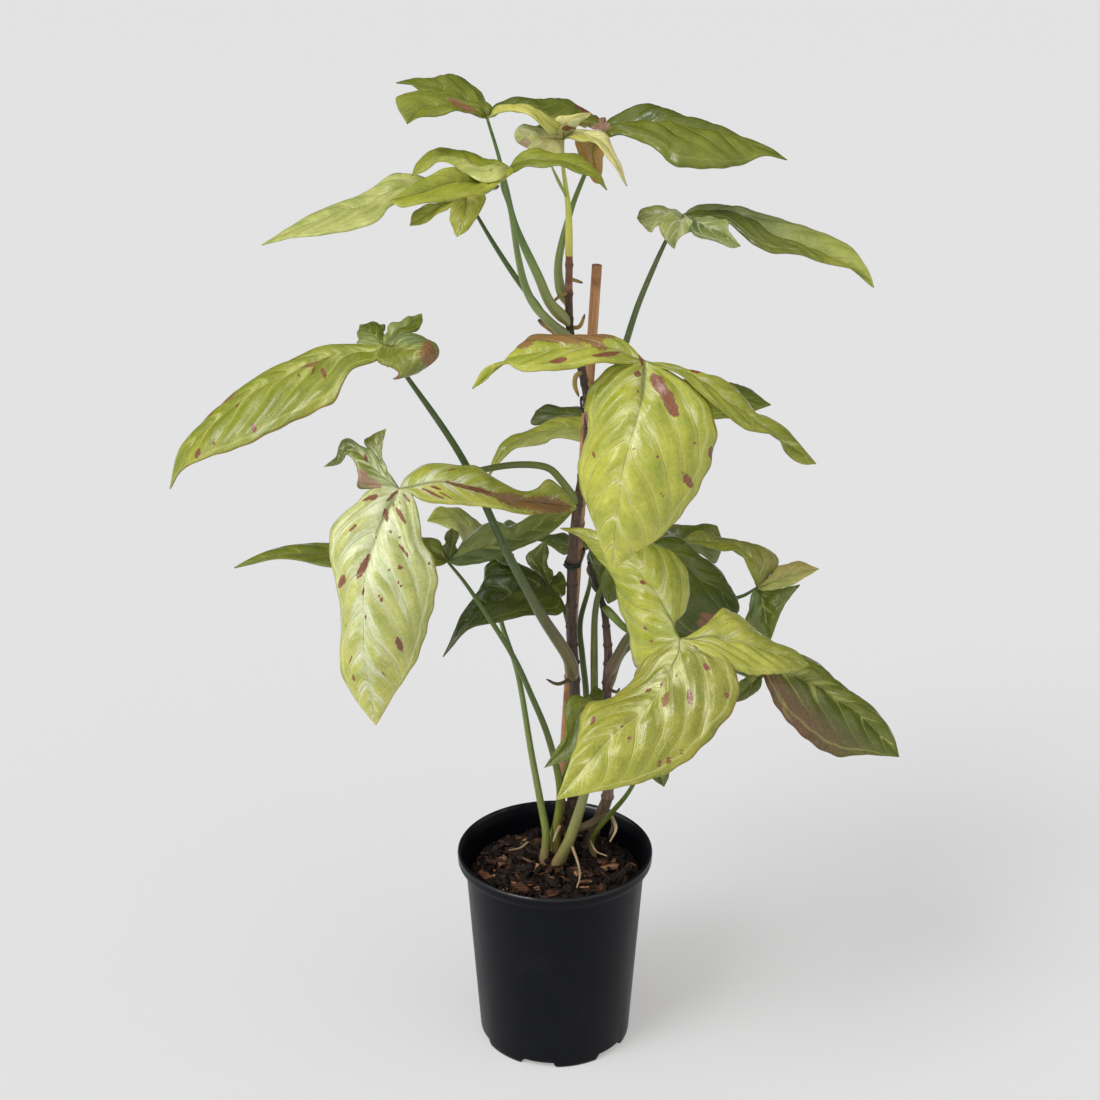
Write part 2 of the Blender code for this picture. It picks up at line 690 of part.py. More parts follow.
# Each petiole: what it grows from, the row of the picture where it leaves a stem, its path out to the
# junction, and its radii from the foot to the blade. A gap is its own distance in millimetres from its
# blade's junction, and a seat its own clearance from the stem, where round sections lean away
PETIOLES = {
    "01": dict(
        gap=1.2,
        stem="top",
        path=(
            (569, 230, -1), (568, 205, -2), (563, 165, -6),
        ),
        radii=(2.3, 2.2, 1.7, 1.2, 0.9),
    ),
    "02": dict(
        gap=1.1,
        stem="main_stem",
        row=322,
        seat=0.0,
        path=(
            (550, 303, -9), (538, 276, -10), (516, 227, -8), (506, 186, -9), (498, 154, -10),
        ),
        radii=(3.2, 3.3, 2.8, 1.8, 1.3, 0.9),
    ),
    "03": dict(
        stem="main_stem",
        row=304,
        path=(
            (560, 287, 9), (559, 257, 14), (571, 210, 25), (584, 176, 36), (596, 147, 46),
        ),
        radii=(2.8, 2.9, 2.4, 1.8, 1.4, 0.9),
    ),
    "04": dict(
        stem="main_stem",
        row=340,
        seat=0.1,
        path=(
            (551, 323, -17), (535, 306, -20), (525, 286, -20), (518, 257, -26), (510, 210, -36),
            (502, 184, -42),
        ),
        radii=(2.8, 3.0, 2.8, 2.3, 1.8, 1.3, 0.9),
    ),
    "05": dict(
        stem="main_stem",
        row=350,
        path=(
            (552, 328, 11), (536, 304, 11), (516, 278, 12), (495, 246, 14), (476, 214, 15),
        ),
        radii=(2.3, 2.3, 2.0, 1.5, 0.9),
    ),
    "06": dict(
        stem="main_stem",
        row=436,
        path=(
            (603, 416, 6), (615, 373, 18), (625, 345, 26), (640, 300, 32), (666, 241, 38),
        ),
        radii=(2.7, 2.6, 2.2, 1.8, 0.9),
    ),
    "07": dict(
        stem="main_stem",
        row=672,
        path=(
            (567, 655, -13), (540, 613, -36), (506, 550, -60), (462, 458, -68), (407, 377, -76),
        ),
        radii=(4.2, 4.3, 3.4, 2.7, 2.4, 2.0, 1.0),
    ),
    "08": dict(
        gap=2.0,
        stem="main_stem",
        row=500,
        path=(
            (560, 479, -12), (545, 467, -18), (514, 465, -34), (477, 471, -54), (436, 481, -82),
            (408, 496, -93),
        ),
        radii=(2.5, 2.5, 2.3, 2.0, 1.7, 1.0),
    ),
    "09": dict(
        gap=2.8,
        stem="main_stem",
        row=462,
        path=(
            (596, 452, 18), (602, 449, 50),
        ),
        radii=(2.4, 2.3, 1.8, 0.9),
    ),
    "10": dict(
        stem="soil",
        path=(
            (556, 830, 14), (560, 790, 4), (549, 740, -10), (531, 695, -22), (510, 651, -32),
            (470, 590, -46),
        ),
        radii=(3.2, 3.0, 2.6, 2.3, 2.0, 1.8, 1.0),
    ),
    "11": dict(
        stem="soil",
        path=(
            (546, 835, 10), (541, 805, 12), (531, 751, 16), (518, 675, 28), (501, 621, 38),
            (492, 570, 46),
        ),
        radii=(3.0, 2.9, 2.5, 2.2, 1.9, 1.7, 1.0),
    ),
    "12": dict(
        stem="main_stem",
        row=452,
        path=(
            (600, 425, -28), (626, 395, -62),
        ),
        radii=(2.6, 2.5, 2.0, 0.9),
    ),
    "13": dict(
        gap=1.6,
        stem="second_stem",
        row=672,
        path=(
            (618, 655, -4), (630, 636, -16), (648, 629, -48), (671, 640, -90),
        ),
        radii=(3.4, 3.4, 3.0, 2.4, 1.8, 1.0),
    ),
    "14": dict(
        gap=1.9,
        stem="second_stem",
        row=607,
        seat=-1.3,
        path=(
            (613, 616, -2), (628, 630, -2), (660, 645, 4), (720, 665, 8), (757, 678, 6),
        ),
        radii=(2.4, 2.4, 2.0, 1.6, 1.0),
    ),
    "15": dict(
        stem="second_stem",
        row=690,
        path=(
            (619, 660, 17), (630, 646, 22), (652, 628, 28), (682, 607, 36), (736, 598, 46),
        ),
        radii=(2.2, 2.2, 2.1, 1.8, 1.0),
    ),
    "16": dict(
        stem="soil",
        path=(
            (570, 838, -6), (584, 794, -6), (592, 750, -2), (594, 698, 2), (594, 650, 2), (595, 613, -1),
            (601, 588, 2), (618, 571, 20), (643, 557, 30),
        ),
        radii=(4.2, 4.2, 3.6, 3.0, 2.8, 2.7, 2.2, 1.6, 0.9),
    ),
    "17": dict(
        gap=1.6,
        stem="main_stem",
        row=632,
        path=(
            (565, 610, 14), (556, 601, 26),
        ),
        radii=(2.2, 2.1, 1.6, 0.9),
    ),
    "18": dict(
        stem="soil",
        path=(
            (554, 828, 24), (560, 798, 14), (567, 768, -3), (580, 732, -22),
        ),
        radii=(2.2, 2.1, 1.9, 1.6, 0.9),
    ),
    "19": dict(
        gap=2.0,
        stem="soil",
        path=(
            (583, 800, 32), (586, 740, 30), (586, 694, 28), (582, 655, 30), (580, 622, 38), (590, 582, 66),
        ),
        radii=(2.4, 2.4, 2.4, 2.4, 2.3, 1.9, 0.9),
    ),
    "20": dict(
        stem="soil",
        path=(
            (592, 838, 10), (606, 819, -2), (628, 793, -26), (644, 762, -48),
        ),
        radii=(2.0, 2.0, 1.8, 1.4, 0.9),
    ),
}

# The bamboo stake's top as seen and its radius, the rows of the two ties round it, and the dry sheath
STAKE_TOP = (597, 265, 16)
STAKE_RADIUS = 3.4
TIE_ROWS = (563, 409)
TIE_WIRE = 0.8
SHEATH = dict(path=((566, 196, -6), (557, 178, -10), (551, 165, -12)), radii=(0.9, 1.1, 0.5))


# The blades that have opened lately are the brighter ones
YOUNG = ("01", "02", "04", "05", "07", "08", "12", "13")

# How many steps each stem and petiole is drawn in, and a tie's wire
STEM_STEPS = {"main_stem": 26, "second_stem": 16}
PETIOLE_STEPS = 12
ROOT_STEPS = 4
TIE_STEPS = 28


def seen(point):
    """The place, in millimetres, of a point given by its column, row and depth behind the pot's axis."""
    column, row, depth = point
    ahead = Vector((0.0, math.cos(LOOK_DOWN), -math.sin(LOOK_DOWN)))
    above = Vector((0.0, math.sin(LOOK_DOWN), math.cos(LOOK_DOWN)))
    ray = ahead + Vector((1.0, 0.0, 0.0)) * ((column - MIDDLE) / FOCAL) - above * ((row - MIDDLE) / FOCAL)
    return np.array(EYE + ray * ((depth - EYE.y) / ray.y))


def row_of(place):
    """The row of the picture where a place in millimetres shows."""
    ahead = np.array([0.0, math.cos(LOOK_DOWN), -math.sin(LOOK_DOWN)])
    above = np.array([0.0, math.sin(LOOK_DOWN), math.cos(LOOK_DOWN)])
    away = place - np.array(EYE)
    return MIDDLE - FOCAL * (away @ above) / (away @ ahead)


def smooth_through(points):
    """A smooth curve through the points: a Catmull-Rom spline, with its running length."""
    points = np.asarray(points, float)
    ends = np.vstack([2 * points[0] - points[1], points, 2 * points[-1] - points[-2]])
    t = np.linspace(0.0, 1.0, SPLINE_STEPS, endpoint=False)[:, None]
    spans = []
    for a, b, c, d in zip(ends, ends[1:], ends[2:], ends[3:]):
        square = (2 * a - 5 * b + 4 * c - d) * t**2
        cube = (3 * b - a - 3 * c + d) * t**3
        spans.append(0.5 * (2 * b + (c - a) * t + square + cube))
    curve = np.vstack([*spans, points[-1:]])
    run = np.concatenate([[0.0], np.cumsum(np.linalg.norm(np.diff(curve, axis=0), axis=1))])
    return curve, run


def at_lengths(curve, run, lengths):
    """The places at these running lengths of a curve."""
    return np.stack([np.interp(lengths, run, curve[:, k]) for k in range(3)], -1)


def evenly(points, steps):
    """A smooth curve through the points in even steps."""
    curve, run = smooth_through(points)
    return at_lengths(curve, run, np.linspace(0.0, run[-1], steps + 1))


def unit(vectors):
    return vectors / np.maximum(np.linalg.norm(vectors, axis=-1, keepdims=True), 1e-9)


def margin(leaf, points, web, tip, rows):
    """A lobe's margin: one step along the web to the notch, then even steps along the free edge."""
    places = [seen(leaf["junction"]), *map(seen, web), *map(seen, points), seen(tip)]
    curve, run = smooth_through(places)
    at_notch = run[len(web) * SPLINE_STEPS] if web else run[-1] / rows
    lengths = np.concatenate([[0.0], np.linspace(at_notch, run[-1], rows)])
    return at_lengths(curve, run, lengths)


def lobe_grid(leaf, number, rows, columns):
    """A lobe as a grid of places: rows from the junction to the tip, columns across it from margin to margin.

    Each half is lofted from the midrib to its margin and swells a little between them.
    """
    lobe = leaf["lobes"][number]
    webs = leaf["webs"]
    web_before = webs[number - 1] if number > 0 else ()
    web_after = webs[number] if number < len(webs) else ()
    rib = evenly([seen(leaf["junction"]), *map(seen, lobe["rib"])], rows)
    along = unit(np.gradient(rib, axis=0))
    grid = np.zeros((rows + 1, 2 * columns + 1, 3))
    grid[:, columns] = rib
    for side, key, web in ((-1, "before", web_before), (1, "after", web_after)):
        edge = margin(leaf, lobe[key], web, lobe["rib"][-1], rows)
        reach = edge - rib
        upward = unit(np.cross(reach * side, along))
        width = np.linalg.norm(reach, axis=1, keepdims=True)
        for column in range(1, columns + 1):
            out = column / columns
            swell = SWELL * 4 * out * (1 - out)
            grid[:, columns + side * column] = rib + reach * out + upward * width * swell
    return grid


def blade_sheet(leaf):
    """The blade as one sheet of triangles: its lobes share the junction and the webs between them."""
    places = [seen(leaf["junction"])]
    faces = []
    previous = None
    for number, lobe in enumerate(leaf["lobes"]):
        length = np.linalg.norm(seen(lobe["rib"][-1]) - seen(leaf["junction"]))
        rows = LONG_ROWS if length > LONG_RIB else SHORT_ROWS
        grid = lobe_grid(leaf, number, rows, COLUMNS)
        across = 2 * COLUMNS + 1
        index = np.zeros((rows + 1, across), int)
        for row in range(1, rows + 1):
            for column in range(across):
                if row == rows and column > 0:
                    index[row, column] = index[row, 0]
                elif row == 1 and column == 0 and previous is not None:
                    index[row, column] = previous
                else:
                    index[row, column] = len(places)
                    places.append(grid[row, column])
        previous = index[1, -1]
        for row in range(rows):
            for column in range(across - 1):
                corners = [
                    index[row, column],
                    index[row, column + 1],
                    index[row + 1, column + 1],
                    index[row + 1, column],
                ]
                faces += triangles(corners, column >= COLUMNS)
    return np.array(places), faces


def triangles(corners, mirrored):
    """A quad split along one diagonal, or the other on the mirrored half, without its flat triangles."""
    a, b, c, d = corners
    split = ((a, b, d), (b, c, d)) if mirrored else ((a, b, c), (a, c, d))
    return [face for face in split if len(set(face)) == 3]


def finish(name, colour, roughness):
    """A plain material of one colour."""
    material = bpy.data.materials.new(name)
    material.use_nodes = True
    shader = material.node_tree.nodes["Principled BSDF"]
    shader.inputs["Base Color"].default_value = (*colour, 1.0)
    shader.inputs["Roughness"].default_value = roughness
    return material


def add_object(name, data, material):
    thing = bpy.data.objects.new(name, data)
    data.materials.append(material)
    bpy.context.scene.collection.objects.link(thing)
    return thing


def add_blade(name, leaf, material):
    """A blade of even thickness about its sheet, so both faces are split alike."""
    places, faces = blade_sheet(leaf)
    mesh = bpy.data.meshes.new(name)
    mesh.from_pydata((places * MM).tolist(), [], faces)
    mesh.shade_smooth()
    blade = add_object(name, mesh, material)
    wall = blade.modifiers.new("thickness", "SOLIDIFY")
    wall.thickness = BLADE_THICK * MM
    wall.offset = 0.0
    return blade


def add_tube(name, places, radii, material, closed=False, sides=1):
    """A round stalk along the places, its radii spread evenly over its length, with flat ends."""
    share = np.linspace(0.0, 1.0, len(places))
    thickness = np.interp(share, np.linspace(0.0, 1.0, len(radii)), radii)
    curve = bpy.data.curves.new(name, "CURVE")
    curve.dimensions = "3D"
    curve.twist_mode = "MINIMUM"
    curve.bevel_depth = MM
    curve.bevel_resolution = sides
    curve.use_fill_caps = not closed
    spline = curve.splines.new("POLY")
    spline.points.add(len(places) - 1)
    spline.points.foreach_set("co", np.hstack([places * MM, np.ones((len(places), 1))]).ravel())
    spline.points.foreach_set("radius", thickness)
    spline.use_cyclic_u = closed
    return add_object(name, curve, material)


def stem_places(name, steps):
    """A stem's middle line, from its foot in the potting bark up."""
    x, y = ROOTED[name]
    foot = np.array([x, y, SOIL_LEVEL + 4.0])
    above = evenly([foot, *map(seen, STEMS[name]["path"])], steps)
    below = np.array([[x, y, SOIL_LEVEL - ROOTED_DEPTH]])
    return np.vstack([below, above])


def stem_at_row(name, row):
    """The place and radius of a stem where it shows at a row of the picture."""
    places = stem_places(name, 120)
    rows = np.array([row_of(place) for place in places])
    nearest = int(np.argmin(abs(rows - row)))
    radii = STEMS[name]["radii"]
    radius = np.interp(nearest / (len(places) - 1), np.linspace(0, 1, len(radii)), radii)
    return places[nearest], radius


def petiole_places(name, petiole, junction, steps):
    """A petiole's middle line, from its foot beside its stem or in the bark to just under the blade."""
    path = [seen(point) for point in petiole["path"]]
    end = seen(junction)
    path.append(end - unit(end - path[-1]) * petiole.get("gap", PETIOLE_END_GAP))
    rise = np.array([0.0, 0.0, 1.0])
    if petiole["stem"] == "soil":
        x, y = ROOTED[name]
        foot = np.array([x, y, SOIL_LEVEL - ROOTED_DEPTH])
        return np.vstack([[foot], evenly([np.array([x, y, SOIL_LEVEL + 3.0]), *path], steps - 1)])
    if petiole["stem"] == "top":
        top = stem_places("main_stem", 40)[-1]
        return evenly([top + rise * SEAT, *path], steps)
    beside, radius = stem_at_row(petiole["stem"], petiole["row"])
    outward = path[0] - beside
    outward[2] = 0.0
    foot = beside + unit(outward) * (FACET * (radius + petiole["radii"][0]) + petiole.get("seat", SEAT))
    return evenly([foot, foot + rise * FOOT_RISE, *path], steps)


def solid_copy(thing):
    """The object's evaluated shape as a closed mesh of its own."""
    graph = bpy.context.evaluated_depsgraph_get()
    mesh = bpy.data.meshes.new_from_object(thing.evaluated_get(graph))
    shape = bmesh.new()
    shape.from_mesh(mesh)
    bmesh.ops.remove_doubles(shape, verts=shape.verts, dist=1e-7)
    bmesh.ops.recalc_face_normals(shape, faces=shape.faces)
    shape.to_mesh(mesh)
    shape.free()
    return mesh


def fuse(name, things, material):
    """One object from several overlapping ones, by a Boolean union, with the single ones removed."""
    bpy.context.view_layer.update()
    meshes = [solid_copy(thing) for thing in things]
    for thing in things:
        bpy.data.objects.remove(thing)
    for mesh in meshes:
        mesh.materials.clear()
    body = add_object(name, meshes[0], material)
    parts = bpy.data.collections.new(name + " parts")
    bpy.context.scene.collection.children.link(parts)
    for mesh in meshes[1:]:
        parts.objects.link(bpy.data.objects.new("part", mesh))
    join = body.modifiers.new("join", "BOOLEAN")
    join.operand_type = "COLLECTION"
    join.collection = parts
    join.solver = "EXACT"
    bpy.context.view_layer.update()
    fused = bpy.data.meshes.new_from_object(body.evaluated_get(bpy.context.evaluated_depsgraph_get()))
    body.modifiers.clear()
    body.data = fused
    for part in list(parts.objects):
        bpy.data.objects.remove(part)
    bpy.data.collections.remove(parts)
    return body


def add_stem(name, material, steps):
    stem = STEMS[name]
    pieces = [add_tube("shoot", stem_places(name, steps), stem["radii"], material, sides=2)]
    for root in AERIAL_ROOTS[name]:
        path = evenly([seen(point) for point in root["path"]], ROOT_STEPS)
        pieces.append(add_tube("root", path, root["radii"], material))
    return fuse(name, pieces, material)


def ring_of(shape, radius, height, sides):
    """One level ring of vertices round the upright axis, or a single one on the axis."""
    if radius == 0.0:
        return [shape.verts.new((0.0, 0.0, height * MM))]
    turns = [2 * math.pi * k / sides for k in range(sides)]
    return [
        shape.verts.new((radius * MM * math.cos(turn), radius * MM * math.sin(turn), height * MM))
        for turn in turns
    ]


def turned(name, profile, sides, material):
    """A solid turned round the upright axis from a closed profile of radius and height, outer side down."""
    shape = bmesh.new()
    rings = [ring_of(shape, radius, height, sides) for radius, height in profile]
    for upper, lower in zip(rings, rings[1:]):
        for k in range(sides):
            here = (upper[k % len(upper)], lower[k % len(lower)])
            after = (lower[(k + 1) % len(lower)], upper[(k + 1) % len(upper)])
            shape.faces.new(list(dict.fromkeys(here + after)))
    bmesh.ops.recalc_face_normals(shape, faces=shape.faces)
    mesh = bpy.data.meshes.new(name)
    shape.to_mesh(mesh)
    shape.free()
    return add_object(name, mesh, material)


def cutter(kind, name, place, size):
    """A helper shape in millimetres that cuts and isn't part of the plant."""
    shape = bmesh.new()
    if kind == "block":
        bmesh.ops.create_cube(shape, size=1.0)
    else:
        bmesh.ops.create_cone(shape, cap_ends=True, segments=HOLE_SIDES, radius1=1.0, radius2=1.0, depth=1.0)
    for vertex in shape.verts:
        vertex.co = Vector(c * s * MM for c, s in zip(vertex.co, size))
    mesh = bpy.data.meshes.new(name)
    shape.to_mesh(mesh)
    shape.free()
    helper = bpy.data.objects.new(name, mesh)
    helper.location = Vector(place) * MM
    helper.hide_render = True
    helper.display_type = "WIRE"
    bpy.context.scene.collection.objects.link(helper)
    return helper


def cut(body, helper):
    """Takes the helper's shape out of the body."""
    carve = body.modifiers.new(helper.name, "BOOLEAN")
    carve.operation = "DIFFERENCE"
    carve.solver = "EXACT"
    carve.object = helper


def add_pot(material):
    """The pot, turned in one profile with a rolled lip, and the drain slots round its foot."""
    inner_base = BASE_RADIUS - POT_WALL - POT_FLOOR_INSET
    under_lip = POT_HEIGHT - LIP_HEIGHT
    pot = turned(
        "pot",
        (
            (0.0, POT_FLOOR),
            (inner_base, POT_FLOOR),
            (NECK_RADIUS - POT_WALL, under_lip),
            (NECK_RADIUS + 0.6, POT_HEIGHT - 3.0),
            (RIM_RADIUS - 2.6, POT_HEIGHT - 1.2),
            (RIM_RADIUS - 1.6, POT_HEIGHT),
            (RIM_RADIUS - 0.5, POT_HEIGHT - 0.5),
            (RIM_RADIUS, POT_HEIGHT - 1.8),
            (RIM_RADIUS - 0.5, under_lip + 0.6),
            (RIM_RADIUS - 1.3, under_lip),
            (NECK_RADIUS, under_lip - 0.4),
            (BASE_RADIUS, FOOT_ROUND),
            (BASE_RADIUS - FOOT_ROUND, 0.0),
            (0.0, 0.0),
        ),
        POT_SIDES,
        material,
    )
    for number in range(DRAIN_SLOTS):
        turn = math.radians(-90.0 + FIRST_SLOT_TURN + 360.0 / DRAIN_SLOTS * number)
        place = (BASE_RADIUS * math.cos(turn), BASE_RADIUS * math.sin(turn), 0.0)
        size = (DRAIN_REACH, DRAIN_WIDTH, 2 * DRAIN_HEIGHT)
        slot = cutter("block", f"drain slot {number + 1}", place, size)
        slot.rotation_euler.z = turn
        cut(pot, slot)
    return pot


def bark_level(x, y):
    """The height of the potting bark at a place: low even swells."""
    ripple = math.sin(0.21 * x + 0.9) * math.cos(0.17 * y - 0.4) + 0.5 * math.sin(0.47 * x - 0.38 * y)
    return SOIL_LEVEL + SOIL_SWELL * ripple


def add_soil(material):
    """The filled bark: a top of uneven height, loose chips fused on and a plain hole for each stem."""
    inner_base = BASE_RADIUS - POT_WALL - POT_FLOOR_INSET
    slope = (NECK_RADIUS - POT_WALL - inner_base) / (POT_HEIGHT - LIP_HEIGHT - POT_FLOOR)
    side = POT_FLOOR + SEAT + DRAIN_HEIGHT
    low_radius = inner_base + slope * (side - POT_FLOOR) - SOIL_GAP - SEAT
    top_radius = inner_base + slope * (SOIL_LEVEL - POT_FLOOR) - SOIL_GAP - SEAT
    shape = bmesh.new()
    middle = shape.verts.new((0.0, 0.0, bark_level(0, 0) * MM))
    rings = []
    for share in SOIL_RINGS:
        ring = ring_of(shape, top_radius * share, SOIL_LEVEL, SOIL_SIDES)
        for vertex in ring:
            vertex.co.z = bark_level(vertex.co.x / MM, vertex.co.y / MM) * MM
        rings.append(ring)
    rings.append(ring_of(shape, low_radius, side, SOIL_SIDES))
    rings.append(ring_of(shape, low_radius - SOIL_FOOT_BEVEL, POT_FLOOR + SEAT, SOIL_SIDES))
    for k in range(SOIL_SIDES):
        after = (k + 1) % SOIL_SIDES
        shape.faces.new((middle, rings[0][k], rings[0][after]))
        for inner, outer in zip(rings, rings[1:]):
            shape.faces.new((inner[k], outer[k], outer[after], inner[after]))
    shape.faces.new(list(reversed(rings[-1])))
    bmesh.ops.recalc_face_normals(shape, faces=shape.faces)
    bmesh.ops.triangulate(shape, faces=shape.faces)
    mesh = bpy.data.meshes.new("soil")
    shape.to_mesh(mesh)
    shape.free()
    bed = add_object("bed", mesh, material)
    soil = fuse("soil", [bed, *bark_chips(material)], material)
    widths = {name: stem["radii"][0] for name, stem in (STEMS | PETIOLES).items()}
    widths["stake"] = STAKE_RADIUS
    for name, (x, y) in ROOTED.items():
        radius = widths[name] + HOLE_PLAY
        depth = STAKE_DEPTH if name == "stake" else ROOTED_DEPTH
        size = (radius, radius, 2 * (depth + SEAT))
        cut(soil, cutter("rod", f"hole {name}", (x, y, SOIL_LEVEL), size))
    return soil


def bark_chips(material):
    """Flat chips of bark that lie half sunk round the bed, on an even spiral clear of the stems."""
    chips = []
    for number in range(BARK_CHIPS):
        share = (number + 0.5) / BARK_CHIPS
        turn = SUNFLOWER_TURN * number
        reach = CHIP_REACH * math.sqrt(share)
        x = reach * math.cos(turn)
        y = reach * math.sin(turn)
        if min(math.hypot(x - a, y - b) for a, b in ROOTED.values()) < CHIP_CLEAR:
            continue
        shape = bmesh.new()
        bmesh.ops.create_cube(shape, size=1.0)
        length = CHIP_LENGTH * (1.0 + 0.5 * math.sin(3.1 * number))
        width = CHIP_WIDTH * (1.0 + 0.33 * math.cos(1.7 * number))
        size = (length, width, CHIP_THICK)
        for vertex in shape.verts:
            vertex.co = Vector(c * s * MM for c, s in zip(vertex.co, size))
        mesh = bpy.data.meshes.new("chip")
        shape.to_mesh(mesh)
        shape.free()
        chip = add_object("chip", mesh, material)
        chip.location = (x * MM, y * MM, (bark_level(x, y) + 0.4) * MM)
        chip.rotation_euler = (0.25 * math.sin(2.3 * number), 0.25 * math.cos(1.3 * number), 1.9 * number)
        chips.append(chip)
    return chips


def stake_line():
    """The stake's middle line: upright in the bark, then straight to its top."""
    x, y = ROOTED["stake"]
    foot = np.array([x, y, SOIL_LEVEL - STAKE_DEPTH])
    top = seen(STAKE_TOP)
    level = np.array([x, y, SOIL_LEVEL + 2.0])
    return np.array([foot, level, top])


def tie_places(row):
    """A tie's wire: a loop round the stem and the stake, half a turn about each, level."""
    stem, stem_radius = stem_at_row("main_stem", row)
    _, low, top = stake_line()
    stake = low + (top - low) * ((stem[2] - low[2]) / (top[2] - low[2]))
    across = stake - stem
    facing = math.atan2(across[1], across[0])
    loop = []
    for centre, radius, start in ((stake, STAKE_RADIUS, -90.0), (stem, stem_radius, 90.0)):
        for k in range(TIE_STEPS // 2):
            turn = facing + math.radians(start + 180.0 * k / (TIE_STEPS // 2 - 1))
            reach = radius + 2 * SEAT + TIE_WIRE
            x = centre[0] + reach * math.cos(turn)
            y = centre[1] + reach * math.sin(turn)
            loop.append([x, y, stem[2]])
    return np.array(loop)


def main():
    for thing in list(bpy.data.objects):
        bpy.data.objects.remove(thing)
    young = finish("young blade", (0.42, 0.52, 0.09), 0.42)
    grown = finish("grown blade", (0.12, 0.22, 0.05), 0.40)
    stalk = finish("petiole", (0.12, 0.20, 0.06), 0.45)
    bark = finish("stem bark", (0.10, 0.06, 0.04), 0.75)
    cane = finish("bamboo", (0.42, 0.24, 0.13), 0.55)
    wire = finish("tie wire", (0.01, 0.03, 0.02), 0.4)
    chips = finish("potting bark", (0.07, 0.035, 0.02), 0.9)
    plastic = finish("pot plastic", (0.012, 0.013, 0.014), 0.38)
    add_pot(plastic)
    add_soil(chips)
    for name, steps in STEM_STEPS.items():
        add_stem(name, bark, steps)
    add_tube("bamboo_stake", stake_line(), (STAKE_RADIUS, STAKE_RADIUS), cane, sides=2)
    for number, row in enumerate(TIE_ROWS, 1):
        add_tube(f"tie_{number}", tie_places(row), (TIE_WIRE, TIE_WIRE), wire, closed=True)
    for name, leaf in LEAVES.items():
        add_blade(f"blade_{name}", leaf, young if name in YOUNG else grown)
        petiole = PETIOLES[name]
        places = petiole_places(name, petiole, leaf["junction"], PETIOLE_STEPS)
        add_tube(f"petiole_{name}", places, petiole["radii"], stalk)
    sheath = evenly([seen(point) for point in SHEATH["path"]], ROOT_STEPS)
    add_tube("sheath", sheath, SHEATH["radii"], stalk)


main()
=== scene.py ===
"""A potted climbing aroid, dressed over its CAD model: lobed blades with their veins, flecks and blotches,
fleshy stalks, ringed stems, a bamboo stake, potting bark and a black nursery pot.

Metres in the meshes, millimetres in the tables below, +Z up, -Y towards the camera. A place on the plant is
given as it is seen: column and row in a 1100 x 1100 picture from EYE, and depth behind the pot's axis.
"""

import math

import bpy
import numpy as np
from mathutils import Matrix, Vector

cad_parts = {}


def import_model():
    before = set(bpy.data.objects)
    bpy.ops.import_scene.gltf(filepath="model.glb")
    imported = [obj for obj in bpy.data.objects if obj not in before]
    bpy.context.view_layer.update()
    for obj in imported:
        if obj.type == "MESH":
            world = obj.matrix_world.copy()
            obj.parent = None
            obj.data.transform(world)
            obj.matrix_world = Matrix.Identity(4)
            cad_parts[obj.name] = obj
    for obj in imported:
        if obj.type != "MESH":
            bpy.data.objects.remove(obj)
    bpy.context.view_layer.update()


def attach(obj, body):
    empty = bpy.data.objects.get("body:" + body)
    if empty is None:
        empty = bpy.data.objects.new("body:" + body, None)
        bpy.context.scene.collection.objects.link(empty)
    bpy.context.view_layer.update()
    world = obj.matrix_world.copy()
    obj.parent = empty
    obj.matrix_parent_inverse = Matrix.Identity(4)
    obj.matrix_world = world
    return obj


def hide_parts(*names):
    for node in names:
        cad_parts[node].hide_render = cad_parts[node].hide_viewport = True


MM = 0.001

# The camera: its place in millimetres, how far it looks down, its focal length and middle in pixels
EYE = Vector((-3.6, -1208.0, 858.0))
LOOK_DOWN = math.radians(21.6)
FOCAL = 1926.0
MIDDLE = 550.0
FRAME_PIXELS = 1100.0

# The pot
RIM_RADIUS = 70.0
POT_HEIGHT = 150.0
BASE_RADIUS = 55.0
NECK_RADIUS = 64.5
LIP_HEIGHT = 8.0
POT_WALL = 1.6
POT_FLOOR = 2.2
POT_FLOOR_INSET = 0.6
POT_UNDERSIDE = 0.8
FOOT_ROUND = 1.5
DRAIN_SLOTS = 6
DRAIN_WIDTH = 26.0
DRAIN_HEIGHT = 4.5
FIRST_SLOT_TURN = -13.0

# The potting bark: its level and swell, how far its chips lie above that level, how deep the bed, the cane
# and the feet of stems and stalks reach, and its chips
SOIL_LEVEL = 127.0
SOIL_SWELL = 1.3
SOIL_RADIUS = 61.0
BARK_LIFT = 5.0
BED_DEPTH = 10.0
BED_SUNK = 1.2
FOOT_DEPTH = 12.0
BARK_CHIPS = 620
FINE_CHIPS = 900
CHIP_LENGTH = 19.0
CRUMB_LENGTH = 6.0
CHIP_CORNERS = 8
CHIP_SEED = 11
CRUMB_SEED = 12

# The stake, the ties and the thickness of a blade
STAKE_TOP = (597, 265, 16)
STAKE_RADIUS = 3.4
TIE_ROWS = (563, 409)
TIE_WIRE = 0.8
TWIST_WIRE = 0.6
BLADE_THICK = 0.8

# How finely the round pieces are drawn: sides round each, and steps along or across it
STEM_SIDES = 20
STEM_STEPS = 260
ROOT_SIDES = 10
ROOT_STEPS = 14
STALK_SIDES = 14
STALK_STEPS = 90
CANE_SIDES = 24
CANE_ROWS = 300
WIRE_SIDES = 10
LOOP_STEPS = 24
TWIST_SIDES = 8
TWIST_STEPS = 60
THREAD_SIDES = 8
THREAD_STEPS = 20
POT_SIDES = 240
BED_SIDES = 160
BED_RINGS = 60

# The length between two ring scars of a stem, a scar's width as a share of it and how far it swells the
# stem, the length between two joints of the cane, and the row below which the aerial roots are grey
INTERNODE = 17.0
SCAR_WIDTH = 0.07
SCAR_SWELL = 0.17
CANE_JOINT = 118.0
GREY_ROOT_ROW = 420

